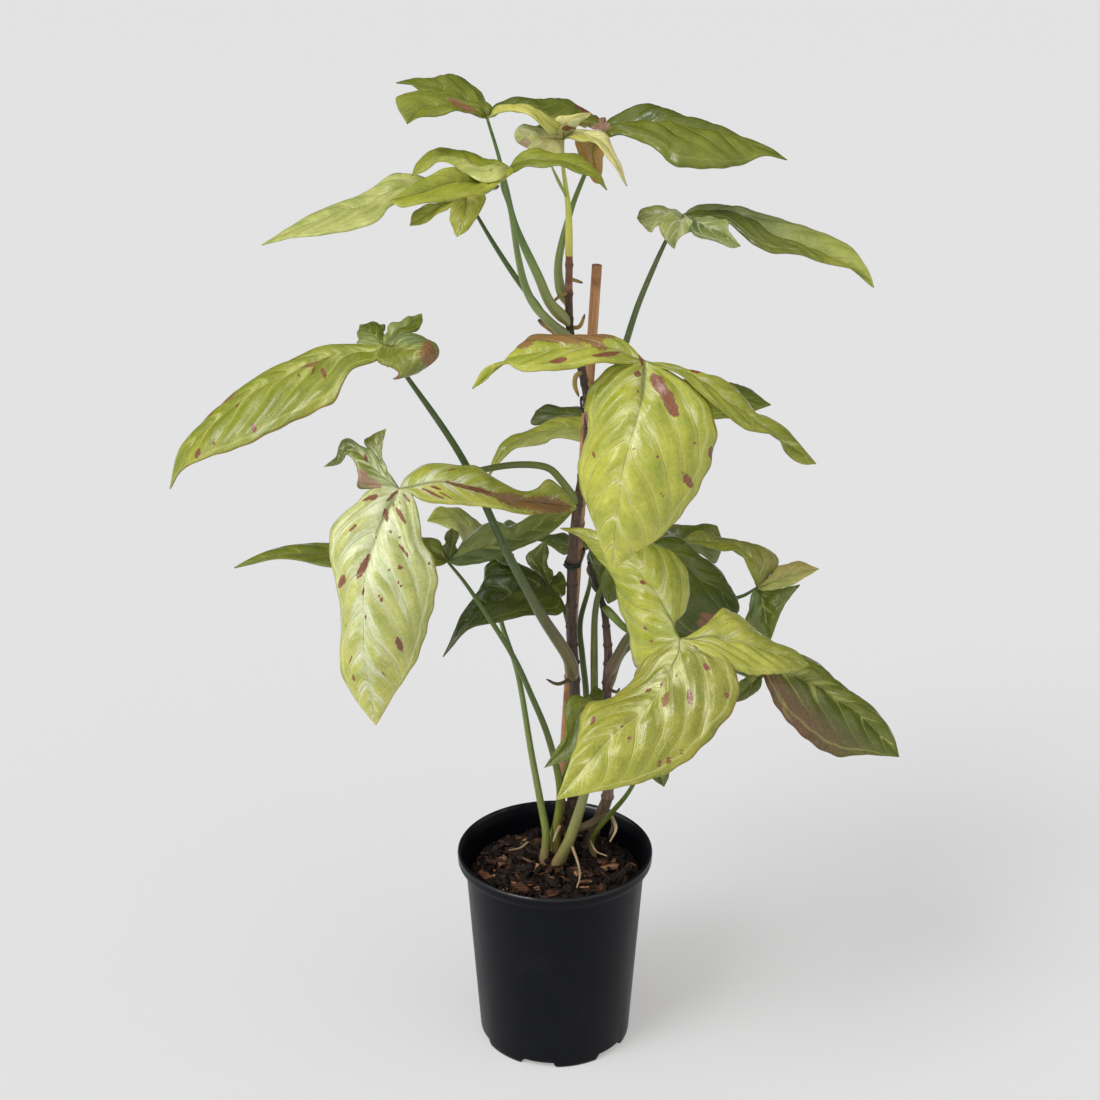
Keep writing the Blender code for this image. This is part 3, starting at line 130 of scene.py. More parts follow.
# How finely a blade is drawn: rows along a long or short lobe, columns from its midrib to a margin, and
# the rows along the web up to the notch between two lobes; and which blades are young
LONG_RIB = 75.0
LONG_ROWS = 80
SHORT_ROWS = 36
COLUMNS = 14
FINE_COLUMNS = 24
YOUNG_BLADES = ("01", "02", "04", "05", "07", "08", "12", "13")
WEB_ROWS = 6
SWELL = 0.10
SPLINE_STEPS = 24

# A blade's relief in millimetres: puffs between the side veins, the groove along the midrib and slow rolls,
# each as a share of the lobe's breadth with its least and most, and the wave of the margin. The margin also
# leaves its smooth line by a share of its distance from the midrib.
PUFF = (0.07, 0.6, 2.8)
GROOVE = (0.05, 0.4, 1.6)
ROLLS = (0.05, 0.3, 2.0)
WAVE = 1.3
MARGIN_JITTER = 0.025

# The side veins: how steeply they leave the midrib, how many there are, and the angle between those that
# fan out of the junction
VEIN_ANGLE = math.radians(40.0)
FAN_ANGLE = math.radians(24.0)
FEWEST_VEINS = 2.6
VEIN_SPACING = 42.0

# The light: an even glow from all round; soft boxes, each with the way it lies, the angles from its middle
# at which it starts to fade and is gone, and its strength; the key lamp and the glow of the floor
SKY = 0.08
SOFT_BOXES = (
    ((-0.15, -0.55, 0.82), 20.0, 80.0, 0.80),
    ((-0.85, -0.25, 0.45), 15.0, 40.0, 0.55),
    ((0.85, -0.30, 0.40), 15.0, 50.0, 0.40),
    ((-0.80, -0.35, 0.48), 4.0, 7.0, 4.0),
    ((-0.66, -0.72, 0.12), 10.0, 26.0, 0.9),
)
KEY_STRENGTH = 1.3
KEY_ANGLE = 24.0
KEY_FROM = (-0.62, -0.55, 0.95)
KEY_COLOUR = (1.0, 0.985, 0.965)
SKY_TINT = (0.985, 0.99, 1.0)
FLOOR_GLOW = 0.34
FLOOR_TINT = (1.0, 0.97, 0.94)
FLOOR_HALF = 30.0
SENSOR = 36.0

# Each blade: its junction with the stalk, the webs between neighbouring lobes out to each notch, and its
# lobes in order round the junction. A lobe is three items, its midrib, its margin before it and its margin
# after it, all from the junction out
LEAVES = {
    "01": dict(junction=(563, 139, -10), webs=(((557, 133, -7),), ((572, 132, -6),)), lobes=(
        ((540, 137, -24), (514, 135, -32)),
        ((561, 156, -22), (546, 154, -24), (527, 148, -28), (517, 142, -31)),
        ((551, 127, -8), (540, 125, -8), (519, 127, -20)),

        ((566, 124, -22), (578, 117, -20), (592, 113, -16)),
        ((554, 126, -22), (558, 118, -22), (576, 114, -20)),
        ((575, 127, -18), (584, 120, -18)),

        ((580, 133, -16), (600, 140, -26), (613, 156, -34), (627, 186, -42)),
        ((592, 130, -12), (608, 139, -20), (621, 168, -35)),
        ((571, 139, -22), (594, 144, -34), (608, 157, -40), (620, 176, -44)),
    )),
    "02": dict(junction=(487, 118, -10), webs=(((477, 110, -13),), ((493, 109, 4),)), lobes=(
        ((450, 107, -24), (425, 107, -30), (407, 124, -45)),
        ((474, 114, -22), (461, 110, -28), (444, 115, -35), (418, 118, -42)),
        ((447, 101, -14), (418, 92, -17), (399, 95, -26), (397, 106, -34)),

        ((462, 98, 10), (430, 86, 20), (396, 83, 30)),
        ((466, 108, -12), (447, 102, -8), (431, 97, 0), (419, 91, 12), (408, 83, 22)),
        ((486, 102, 24), (477, 91, 42), (460, 78, 54), (441, 83, 50), (416, 80, 42)),

        ((500, 109, -6), (513, 107, -8), (533, 110, -14), (549, 116, -16), (575, 119, -4), (599, 123, 10)),
        ((503, 104, 12), (516, 104, 20), (533, 103, 26), (549, 101, 30), (565, 101, 30), (577, 107, 27),
            (589, 113, 22)),
        ((497, 114, -18), (511, 110, -26), (528, 116, -34), (542, 127, -36), (555, 135, -36),
            (562, 122, -18), (582, 123, 0)),
    )),
    "03": dict(junction=(603, 130, 50), webs=(((607, 124, 66),), ((609, 137, 32),)), lobes=(
        ((590, 123, 85), (570, 124, 110)),
        ((590, 128, 70), (578, 126, 95)),
        ((602, 118, 90), (588, 117, 108)),

        ((629, 122, 50), (665, 121, 45), (709, 128, 40), (745, 141, 36), (787, 160, 30)),
        ((631, 108, 70), (657, 109, 68), (707, 125, 55), (763, 145, 40)),
        ((625, 135, 30), (658, 152, 12), (668, 162, 8), (682, 166, 5), (715, 169, 8), (742, 165, 18),
            (764, 156, 25)),

        ((593, 145, 18), (594, 165, 8), (600, 184, 0)),
        ((604, 152, 15), (602, 172, 4)),
        ((592, 133, 25), (576, 139, 15), (578, 152, 12), (592, 180, 3)),
    )),
    "04": dict(junction=(510, 167, -45), webs=(((514, 172, -60),), ((503, 178, -72),)), lobes=(
        ((530, 160, -54), (560, 162, -58), (585, 170, -63), (607, 190, -65)),
        ((516, 158, -42), (528, 150, -42), (555, 153, -42), (583, 158, -47), (598, 173, -55)),
        ((530, 167, -66), (552, 166, -72), (571, 170, -75), (592, 177, -72)),

        ((480, 181, -68), (450, 184, -80), (420, 194, -93), (390, 201, -100)),
        ((482, 194, -85), (447, 200, -100), (417, 205, -108), (401, 207, -106)),
        ((471, 175, -66), (455, 169, -72), (436, 172, -79), (412, 186, -90)),

        ((480, 169, -45), (450, 158, -30), (428, 160, -18), (412, 176, -15)),
        ((488, 181, -76), (472, 178, -72), (460, 170, -58), (448, 163, -42), (436, 163, -32),
            (423, 172, -24)),
        ((500, 163, -32), (480, 158, -22), (455, 150, -12), (436, 151, -6), (418, 162, -6)),
    )),
    "05": dict(junction=(466, 196, 15), webs=(
        ((453, 204, 4),), ((446, 202, 9),), ((456, 190, 36),),
    ), lobes=(
        ((466, 212, -2), (457, 237, -10)),
        ((480, 188, 10), (486, 198, 4), (482, 208, 0), (477, 217, -5), (468, 230, -8)),
        ((450, 215, 0), (453, 229, -5)),

        ((440, 207, 9), (410, 226, 15)),
        ((437, 215, 5), (423, 224, 10)),
        ((428, 205, 12), (415, 211, 18)),

        ((440, 192, 15), (410, 187, 8), (370, 204, 0), (320, 222, -12), (262, 245, -20)),
        ((417, 198, -6), (390, 208, -22), (375, 222, -35), (320, 236, -40), (290, 238, -32)),
        ((440, 185, 34), (415, 176, 32), (394, 176, 25), (370, 190, 18), (330, 207, 5), (290, 227, -8)),

        ((474, 190, 50), (500, 186, 90)),
        ((458, 186, 48), (474, 183, 78)),
        ((480, 194, 35), (495, 190, 68)),
    )),
    "06": dict(junction=(684, 214, 40), webs=(
        ((698, 218, 27),), ((692, 222, 25),), ((671, 218, 27),),
    ), lobes=(
        ((715, 212, 45), (743, 216, 42), (766, 230, 36), (800, 246, 34), (840, 261, 34), (874, 288, 33)),
        ((695, 209, 62), (730, 209, 66), (784, 221, 60), (810, 227, 55), (849, 247, 46), (864, 264, 37),
            (871, 277, 34)),
        ((728, 222, 22), (753, 244, 8), (772, 254, 5), (801, 254, 10), (826, 264, 18), (855, 270, 28),
            (867, 277, 32)),

        ((705, 225, 15), (720, 233, 5), (741, 246, -5)),
        ((726, 219, 10), (729, 231, 2)),
        ((693, 234, 8), (719, 243, -2), (732, 248, -5)),

        ((679, 226, 20), (674, 249, 10)),
        ((693, 230, 18), (679, 238, 12)),
        ((660, 222, 20), (660, 231, 15), (668, 243, 10)),

        ((660, 214, 38), (645, 214, 42), (637, 218, 40)),
        ((657, 226, 20), (652, 233, 18), (643, 226, 28)),
        ((672, 213, 55), (655, 208, 58), (643, 209, 52)),
    )),
    "07": dict(junction=(383, 345, -75), webs=(
        ((377, 360, -94),), ((371, 346, -68),), ((384, 338, -62),),
    ), lobes=(
        ((405, 347, -100), (424, 355, -115), (413, 370, -112), (393, 379, -105)),
        ((390, 340, -78), (405, 335, -85), (427, 338, -92), (437, 345, -98), (435, 358, -100),
            (417, 371, -98)),
        ((386, 366, -105), (398, 371, -112), (396, 378, -112)),

        ((370, 352, -78), (335, 355, -82), (300, 366, -88), (262, 387, -94), (225, 413, -100),
            (195, 443, -104), (170, 489, -108)),
        ((351, 371, -102), (336, 399, -112), (318, 410, -116), (253, 442, -122), (209, 457, -120),
            (182, 471, -115)),
        ((328, 348, -62), (302, 358, -62), (269, 374, -66), (235, 396, -74), (190, 436, -90),
            (177, 458, -96)),

        ((374, 335, -58), (360, 325, -45)),
        ((359, 345, -62), (358, 335, -52)),
        ((384, 326, -50), (375, 323, -44)),

        ((395, 334, -64), (410, 325, -58), (422, 314, -45)),
        ((391, 325, -58), (405, 319, -54), (413, 316, -48)),
        ((392, 341, -75), (405, 337, -78), (414, 332, -74), (422, 324, -62)),
    )),
    "08": dict(junction=(399, 489, -110), webs=(
        ((411, 494, -115),), ((372, 489, -112),), ((386, 472, -101),),
    ), lobes=(
        ((425, 483, -104), (450, 482, -98), (480, 491, -88), (510, 500, -76), (545, 504, -58),
            (577, 508, -44)),
        ((408, 476, -98), (430, 465, -88), (473, 465, -76), (490, 478, -70), (522, 490, -60),
            (536, 489, -54), (549, 480, -46), (566, 493, -42)),
        ((430, 503, -112), (478, 506, -98), (522, 514, -82), (549, 513, -68), (570, 512, -52)),

        ((386, 512, -122), (375, 540, -134), (367, 567, -142), (364, 610, -150), (366, 660, -150),
            (376, 725, -140)),
        ((418, 512, -122), (422, 538, -128), (436, 566, -131), (433, 610, -134), (422, 644, -136),
            (405, 677, -138)),
        ((355, 505, -120), (334, 522, -125), (328, 545, -130), (338, 585, -138), (341, 642, -142),
            (342, 673, -142), (355, 699, -142)),

        ((378, 472, -106), (362, 455, -102), (348, 446, -97), (339, 455, -95), (324, 467, -95)),
        ((358, 488, -114), (358, 473, -112), (355, 463, -108), (347, 455, -102), (339, 464, -97)),
        ((372, 452, -97), (350, 440, -93), (339, 446, -92), (335, 459, -94)),

        ((384, 465, -102), (377, 447, -96), (386, 429, -88)),
        ((372, 450, -95), (364, 440, -91), (373, 435, -90)),
        ((389, 478, -106), (384, 465, -104), (382, 448, -98)),
    )),
    "09": dict(junction=(604, 425, 70), webs=(((596, 420, 82),), ((612, 416, 90),)), lobes=(
        ((580, 428, 66), (550, 429, 60), (525, 438, 54), (505, 450, 48), (488, 478, 45)),
        ((585, 441, 45), (554, 438, 42), (545, 442, 38), (528, 447, 35), (513, 450, 38), (500, 462, 42)),
        ((576, 416, 84), (558, 419, 78), (530, 430, 68), (503, 442, 55), (494, 457, 50)),

        ((572, 414, 94), (552, 413, 105), (536, 411, 112)),
        ((580, 419, 90), (558, 421, 99), (532, 425, 105)),
        ((585, 409, 105), (570, 408, 110), (548, 405, 115)),

        ((650, 412, 72), (700, 400, 65), (740, 398, 55), (771, 405, 48)),
        ((640, 395, 110), (680, 381, 115), (715, 380, 105), (745, 388, 85)),
        ((630, 432, 45), (670, 425, 35), (705, 418, 30), (738, 418, 34), (755, 411, 40)),
    )),
    "10": dict(junction=(448, 562, -50), webs=(((443, 550, -44),), ((456, 552, -44),)), lobes=(
        ((430, 551, -46), (390, 550, -40), (340, 554, -32), (290, 556, -24), (234, 568, -16)),
        ((436, 566, -66), (390, 563, -70), (360, 567, -66), (329, 566, -55), (289, 560, -38),
            (266, 560, -28)),
        ((434, 538, -32), (390, 540, -10), (327, 544, -5), (283, 547, -8), (257, 555, -12)),

        ((451, 544, -44), (452, 528, -42)),
        ((445, 542, -43), (446, 533, -42)),
        ((456, 544, -45), (459, 534, -43)),

        ((468, 554, -46), (488, 546, -36), (507, 541, -25), (529, 531, -10), (552, 521, 2), (574, 511, 11)),
        ((474, 530, -15), (495, 523, -5), (507, 528, -2), (533, 514, 8), (564, 510, 15)),
        ((460, 566, -64), (488, 561, -50), (510, 553, -40), (536, 541, -20), (556, 529, -6)),
    )),
    "11": dict(junction=(490, 545, 50), webs=(((489, 534, 68),), ((498, 545, 56),)), lobes=(
        ((475, 531, 52), (450, 519, 50), (427, 521, 45)),
        ((478, 547, 35), (465, 543, 28), (455, 532, 28), (444, 526, 34)),
        ((466, 513, 72), (448, 507, 62), (437, 508, 55)),

        ((503, 533, 75), (520, 525, 110)),
        ((496, 528, 82), (508, 521, 102)),
        ((506, 540, 70), (516, 534, 92)),

        ((500, 552, 42), (512, 566, 20)),
        ((505, 550, 46), (514, 556, 32)),
        ((492, 555, 40), (502, 564, 26)),
    )),
    "12": dict(junction=(645, 361, -95), webs=(((656, 367, -99),), ((634, 364, -102),)), lobes=(
        ((672, 367, -94), (698, 379, -92), (730, 402, -92), (760, 426, -90), (790, 447, -88),
            (816, 464, -86)),
        ((660, 364, -88), (691, 370, -80), (720, 380, -72), (738, 392, -70), (753, 411, -72),
            (767, 418, -72), (790, 433, -76)),
        ((684, 377, -106), (720, 411, -110), (745, 428, -110), (774, 436, -100), (786, 453, -96),
            (802, 464, -92)),

        ((643, 394, -112), (635, 427, -126), (625, 465, -136), (618, 512, -140), (612, 570, -132)),
        ((672, 373, -99), (698, 391, -104), (713, 420, -110), (716, 442, -114), (710, 470, -120),
            (686, 505, -128), (661, 537, -132), (630, 556, -134)),
        ((612, 366, -102), (594, 382, -104), (586, 401, -108), (587, 432, -114), (580, 453, -116),
            (581, 484, -122), (597, 535, -130)),

        ((615, 350, -96), (580, 348, -100), (550, 351, -104), (519, 355, -106), (503, 364, -108),
            (472, 389, -110)),
        ((612, 364, -112), (590, 364, -120), (554, 371, -128), (526, 372, -126), (516, 368, -122),
            (508, 363, -118), (497, 367, -114), (487, 379, -112)),
        ((633, 350, -86), (620, 341, -77), (602, 337, -74), (540, 336, -80), (524, 342, -88),
            (515, 350, -94), (507, 360, -102), (494, 364, -106), (482, 371, -108)),
    )),
    "13": dict(junction=(680, 639, -110), webs=(
        ((701, 651, -122), (722, 661, -126)), ((660, 650, -106), (638, 668, -98)),
    ), lobes=(
        ((705, 636, -108), (731, 640, -102), (760, 648, -98), (809, 665, -92)),
        ((694, 633, -104), (704, 626, -98), (715, 617, -90), (723, 608, -84), (738, 614, -78),
            (757, 633, -78), (793, 650, -86)),
        ((737, 671, -122), (760, 675, -114), (793, 672, -100)),

        ((675, 660, -122), (660, 690, -134), (641, 714, -144), (611, 738, -156), (556, 800, -176)),
        ((734, 667, -127), (738, 689, -132), (731, 711, -140), (703, 748, -154), (658, 777, -164),
            (599, 791, -172)),
        ((631, 685, -104), (611, 698, -118), (587, 706, -134), (575, 746, -156), (563, 782, -171)),

        ((673, 624, -104), (655, 592, -90), (630, 560, -74), (600, 542, -60), (560, 528, -48)),
        ((630, 645, -88), (619, 598, -74), (608, 572, -65), (584, 541, -52)),
        ((673, 624, -100), (685, 610, -92), (690, 585, -82), (680, 560, -72), (655, 543, -62),
            (620, 543, -58), (590, 529, -52)),
    )),
    "14": dict(junction=(770, 667, 0), webs=(((771, 660, 12),), ((763, 673, -6),)), lobes=(
        ((752, 655, 30), (728, 645, 62)),
        ((754, 665, 25), (740, 655, 45)),
        ((762, 650, 38), (742, 638, 60)),

        ((785, 672, 2), (800, 678, 0), (835, 697, -8), (870, 724, -20), (899, 757, -32)),
        ((782, 653, 22), (796, 652, 26), (813, 661, 26), (836, 681, 18), (866, 703, 4), (890, 728, -12)),
        ((770, 693, -20), (781, 714, -28), (799, 733, -36), (835, 756, -44), (865, 755, -42)),

        ((752, 683, -10), (732, 703, -25)),
        ((760, 688, -14), (746, 699, -21)),
        ((752, 672, 0), (742, 680, -8), (735, 692, -16)),
    )),
    "15": dict(junction=(757, 588, 50), webs=(((768, 577, 62),), ((768, 592, 43),)), lobes=(
        ((755, 572, 55), (745, 558, 60), (720, 544, 66), (681, 541, 70)),
        ((754, 580, 40), (750, 568, 38), (738, 553, 43), (722, 550, 50), (703, 546, 58)),
        ((780, 563, 72), (766, 550, 78), (721, 538, 80), (698, 531, 76)),

        ((775, 582, 56), (797, 573, 66), (819, 569, 70)),
        ((784, 564, 73), (803, 563, 76)),
        ((784, 588, 48), (803, 579, 58)),

        ((763, 602, 36), (766, 620, 26), (770, 642, 16)),
        ((785, 590, 40), (800, 584, 38), (783, 608, 26)),
        ((752, 594, 40), (749, 608, 32), (746, 621, 24), (757, 630, 20)),
    )),
    "16": dict(junction=(650, 547, 20), webs=(((662, 538, 44),), ((646, 556, 10),)), lobes=(
        ((680, 536, 92), (702, 541, 110), (717, 526, 126)),
        ((670, 527, 98), (695, 525, 118), (706, 524, 126)),
        ((680, 546, 84), (700, 554, 100), (715, 563, 110), (722, 545, 118)),

        ((670, 553, 20), (695, 575, 12), (720, 590, 2), (739, 611, -8)),
        ((682, 541, 44), (715, 567, 36), (736, 598, 20)),
        ((652, 570, -6), (660, 602, -20), (674, 634, -32), (700, 643, -36), (719, 632, -26),
            (732, 619, -14)),

        ((628, 565, 8), (612, 588, 0), (608, 604, -5)),
        ((635, 577, 4), (619, 597, -3)),
        ((635, 548, 20), (615, 558, 12), (601, 574, 5), (602, 592, 0)),
    )),
    "17": dict(junction=(549, 586, 20), webs=(((559, 595, 10),), ((540, 577, 28),)), lobes=(
        ((558, 583, 28), (564, 576, 33)),
        ((554, 577, 32), (559, 572, 36)),
        ((564, 595, 18), (566, 585, 26)),

        ((527, 589, 14), (505, 598, 8), (485, 606, 2), (467, 624, -4), (443, 657, -12)),
        ((563, 611, -8), (541, 615, -18), (493, 622, -26), (466, 632, -20)),
        ((526, 567, 36), (508, 558, 42), (488, 565, 40), (484, 583, 28), (462, 616, 4)),

        ((543, 565, 38), (545, 541, 50)),
        ((526, 560, 42), (534, 549, 48)),
        ((553, 575, 30), (547, 562, 40), (549, 551, 46)),
    )),
    "18": dict(junction=(594, 703, -30), webs=(((590, 713, -38),), ((587, 698, -28),)), lobes=(
        ((606, 722, -44), (616, 746, -56)),
        ((614, 714, -38), (620, 732, -48)),
        ((594, 728, -48), (604, 742, -56)),

        ((580, 712, -40), (572, 735, -48), (560, 752, -54), (544, 768, -58)),
        ((584, 735, -50), (575, 753, -56), (562, 762, -58)),
        ((572, 696, -33), (564, 708, -40), (566, 732, -50), (556, 749, -54)),

        ((597, 695, -18), (600, 689, -9)),
        ((590, 694, -20), (594, 687, -11)),
        ((602, 700, -22), (604, 693, -13)),
    )),
    "19": dict(junction=(590, 548, 60), webs=(((588, 541, 74),), ((596, 554, 62),)), lobes=(
        ((570, 546, 68), (550, 541, 78), (533, 540, 85)),
        ((577, 553, 55), (563, 554, 58), (545, 543, 76)),
        ((575, 537, 82), (560, 534, 88), (545, 535, 90)),

        ((597, 549, 95), (600, 552, 140)),
        ((589, 540, 95), (594, 545, 122)),
        ((603, 551, 90), (606, 553, 120)),

        ((596, 570, 48), (603, 602, 45)),
        ((604, 562, 48), (608, 580, 45)),
        ((587, 562, 55), (592, 585, 48)),
    )),
    "20": dict(junction=(652, 742, -58), webs=(((656, 750, -64),), ((646, 748, -62),)), lobes=(
        ((668, 742, -54), (690, 738, -46)),
        ((664, 735, -46), (680, 732, -42)),
        ((670, 750, -60), (684, 746, -52)),

        ((655, 765, -72), (664, 787, -82)),
        ((666, 760, -70), (669, 775, -78)),
        ((644, 764, -72), (652, 778, -80)),

        ((638, 750, -64), (622, 762, -72)),
        ((640, 757, -68), (630, 764, -73)),
        ((638, 742, -60), (627, 750, -67)),
    )),
}

# Where each stem comes out of the potting bark, in millimetres from the pot's axis
ROOTED = {
    "main_stem": (11.0, 20.0),
    "second_stem": (21.5, 27.0),
    "stake": (2.0, 33.0),
    "10": (0.0, 19.5),
    "11": (-8.5, 10.0),
    "16": (1.5, 7.0),
    "18": (-7.0, 27.0),
    "19": (12.0, 35.0),
    "20": (28.5, 17.0),
}

# The two stems, and the aerial roots that start inside them
STEMS = {
    "main_stem": dict(
        path=((573, 790, 12), (575, 700, 6), (572, 640, 2), (572, 574, 0), (577, 510, 0), (586, 455, 0),
            (588, 405, 0), (582, 371, 0), (571, 337, 0), (569, 300, 0), (569, 251, 0)),
        radii=(4.6, 4.4, 4.2, 4.0, 3.8, 3.6, 3.3, 3.0, 2.7, 2.4),
    ),
    "second_stem": dict(
        path=((602, 812, 20), (608, 790, 14), (608, 740, 10), (607, 690, 8), (608, 650, 8), (604, 610, 8),
            (594, 580, 9), (589, 562, 10)),
        radii=(4.4, 4.4, 4.2, 4.0, 3.8, 3.4, 3.0, 2.2, 1.2),
    ),
}

AERIAL_ROOTS = {
    "main_stem": (
        dict(path=((570, 292, 0), (560, 296, -3), (553, 302, -5)), radii=(1.5, 1.2, 0.7)),
        dict(path=((570, 279, 0), (577, 281, -3), (583, 283, -4)), radii=(1.3, 1.2, 0.8)),
        dict(path=((573, 328, 0), (580, 326, -4), (585, 314, -6)), radii=(1.4, 1.3, 0.8)),
        dict(
            path=((583, 372, 0), (576, 376, -5), (575, 386, -6), (579, 397, -6)),
            radii=(1.6, 1.6, 1.5, 0.9),
        ),
        dict(path=((586, 380, 0), (592, 389, -4), (593, 398, -5)), radii=(1.3, 1.2, 0.8)),
        dict(
            path=((573, 344, 0), (560, 334, -2), (548, 325, -2), (538, 320, -2)),
            radii=(2.6, 2.8, 3.3, 2.4),
        ),
        dict(path=((573, 678, 4), (558, 684, -3), (546, 679, -5)), radii=(1.5, 1.3, 0.8)),
        dict(path=((579, 492, 0), (571, 497, -5), (566, 502, -7)), radii=(2.0, 1.8, 1.0)),
    ),
    "second_stem": (
        dict(path=((607, 688, 8), (616, 692, 2), (620, 688, -1)), radii=(1.4, 1.2, 0.7)),
        dict(
            path=((606, 813, 18), (594, 822, 8), (578, 829, 3), (563, 835, 1)), radii=(3.4, 3.1, 2.8, 2.0),
        ),
        dict(path=((607, 700, 8), (612, 706, 2), (609, 714, -1)), radii=(1.4, 1.2, 0.7)),
        dict(path=((606, 812, 18), (613, 822, 8), (609, 838, 4)), radii=(1.6, 1.4, 0.8)),
    ),
}

# Each stalk: what it grows from and at which row, its radii from foot to blade, and its path
PETIOLES = {
    "01": dict(
        stem="top", radii=(2.3, 2.2, 1.7, 1.2, 0.9), path=((569, 230, -1), (568, 205, -2), (563, 165, -6)),
    ),
    "02": dict(
        stem="main_stem", row=322, radii=(3.2, 3.3, 2.8, 1.8, 1.3, 0.9),
        path=((550, 303, -9), (538, 276, -10), (516, 227, -8), (506, 186, -9), (498, 154, -10)),
    ),
    "03": dict(
        stem="main_stem", row=304, radii=(2.8, 2.9, 2.4, 1.8, 1.4, 0.9),
        path=((560, 287, 9), (559, 257, 14), (571, 210, 25), (584, 176, 36), (596, 147, 46)),
    ),
    "04": dict(
        stem="main_stem", row=340, radii=(2.8, 3.0, 2.8, 2.3, 1.8, 1.3, 0.9),
        path=((551, 323, -17), (535, 306, -20), (525, 286, -20), (518, 257, -26), (510, 210, -36),
            (502, 184, -42)),
    ),
    "05": dict(
        stem="main_stem", row=350, radii=(2.3, 2.3, 2.0, 1.5, 0.9),
        path=((552, 328, 11), (536, 304, 11), (516, 278, 12), (495, 246, 14), (476, 214, 15)),
    ),
    "06": dict(
        stem="main_stem", row=436, radii=(2.7, 2.6, 2.2, 1.8, 0.9),
        path=((603, 416, 6), (615, 373, 18), (625, 345, 26), (640, 300, 32), (666, 241, 38)),
    ),
    "07": dict(
        stem="main_stem", row=672, radii=(4.2, 4.3, 3.4, 2.7, 2.4, 2.0, 1.0),
        path=((567, 655, -13), (540, 613, -36), (506, 550, -60), (462, 458, -68), (407, 377, -76)),
    ),
    "08": dict(
        stem="main_stem", row=500, radii=(2.5, 2.5, 2.3, 2.0, 1.7, 1.0),
        path=((560, 479, -12), (545, 467, -18), (514, 465, -34), (477, 471, -54), (436, 481, -82),
            (408, 496, -93)),
    ),
    "09": dict(
        stem="main_stem", row=462, radii=(2.4, 2.3, 1.8, 0.9), path=((596, 452, 18), (602, 449, 50)),
    ),
    "10": dict(
        stem="soil", radii=(3.2, 3.0, 2.6, 2.3, 2.0, 1.8, 1.0),
        path=((556, 830, 14), (560, 790, 4), (549, 740, -10), (531, 695, -22), (510, 651, -32),
            (470, 590, -46)),
    ),
    "11": dict(
        stem="soil", radii=(3.0, 2.9, 2.5, 2.2, 1.9, 1.7, 1.0),
        path=((546, 835, 10), (541, 805, 12), (531, 751, 16), (518, 675, 28), (501, 621, 38),
            (492, 570, 46)),
    ),
    "12": dict(
        stem="main_stem", row=452, radii=(2.6, 2.5, 2.0, 0.9), path=((600, 425, -28), (626, 395, -62)),
    ),
    "13": dict(
        stem="second_stem", row=672, radii=(3.4, 3.4, 3.0, 2.4, 1.8, 1.0),
        path=((618, 655, -4), (630, 636, -16), (648, 629, -48), (671, 640, -90)),
    ),
    "14": dict(
        stem="second_stem", row=607, radii=(2.4, 2.4, 2.0, 1.6, 1.0),
        path=((613, 616, -2), (628, 630, -2), (660, 645, 4), (720, 665, 8), (757, 678, 6)),
    ),
    "15": dict(
        stem="second_stem", row=690, radii=(2.2, 2.2, 2.1, 1.8, 1.0),
        path=((619, 660, 17), (630, 646, 22), (652, 628, 28), (682, 607, 36), (736, 598, 46)),
    ),
    "16": dict(
        stem="soil", radii=(4.2, 4.2, 3.6, 3.0, 2.8, 2.7, 2.2, 1.6, 0.9),
        path=((570, 838, -6), (584, 794, -6), (592, 750, -2), (594, 698, 2), (594, 650, 2), (595, 613, -1),
            (601, 588, 2), (618, 571, 20), (643, 557, 30)),
    ),
    "17": dict(
        stem="main_stem", row=632, radii=(2.2, 2.1, 1.6, 0.9), path=((565, 610, 14), (556, 601, 26)),
    ),
    "18": dict(
        stem="soil", radii=(2.2, 2.1, 1.9, 1.6, 0.9),
        path=((554, 828, 24), (560, 798, 14), (567, 768, -3), (580, 732, -22)),
    ),
    "19": dict(
        stem="soil", radii=(2.4, 2.4, 2.4, 2.4, 2.3, 1.9, 0.9),
        path=((583, 800, 32), (586, 740, 30), (586, 694, 28), (582, 655, 30), (580, 622, 38),
            (590, 582, 66)),
    ),
    "20": dict(
        stem="soil", radii=(2.0, 2.0, 1.8, 1.4, 0.9),
        path=((592, 838, 10), (606, 819, -2), (628, 793, -26), (644, 762, -48)),
    ),
}

# Fine dry roots over the bark, and the thin green sheath near the top
THREADS = (
    dict(
        path=((572, 846, 4), (577, 860, -6), (580, 874, -18), (577, 888, -30)), radii=(1.1, 0.9, 0.8, 0.5),
    ),
    dict(path=((611, 815, 14), (616, 828, 4), (610, 842, -2)), radii=(1.3, 1.1, 0.6)),
    dict(path=((560, 826, 10), (556, 834, 2), (553, 842, -4)), radii=(1.2, 1.0, 0.4)),
    dict(path=((528, 842, 14), (520, 848, 2), (509, 850, -4)), radii=(0.8, 0.7, 0.4)),
    dict(path=((590, 840, 18), (596, 851, 2), (607, 856, -8)), radii=(0.8, 0.7, 0.4)),
)
SHEATH = dict(path=((566, 196, -6), (557, 178, -10), (551, 165, -12)), radii=(0.9, 1.1, 0.5))

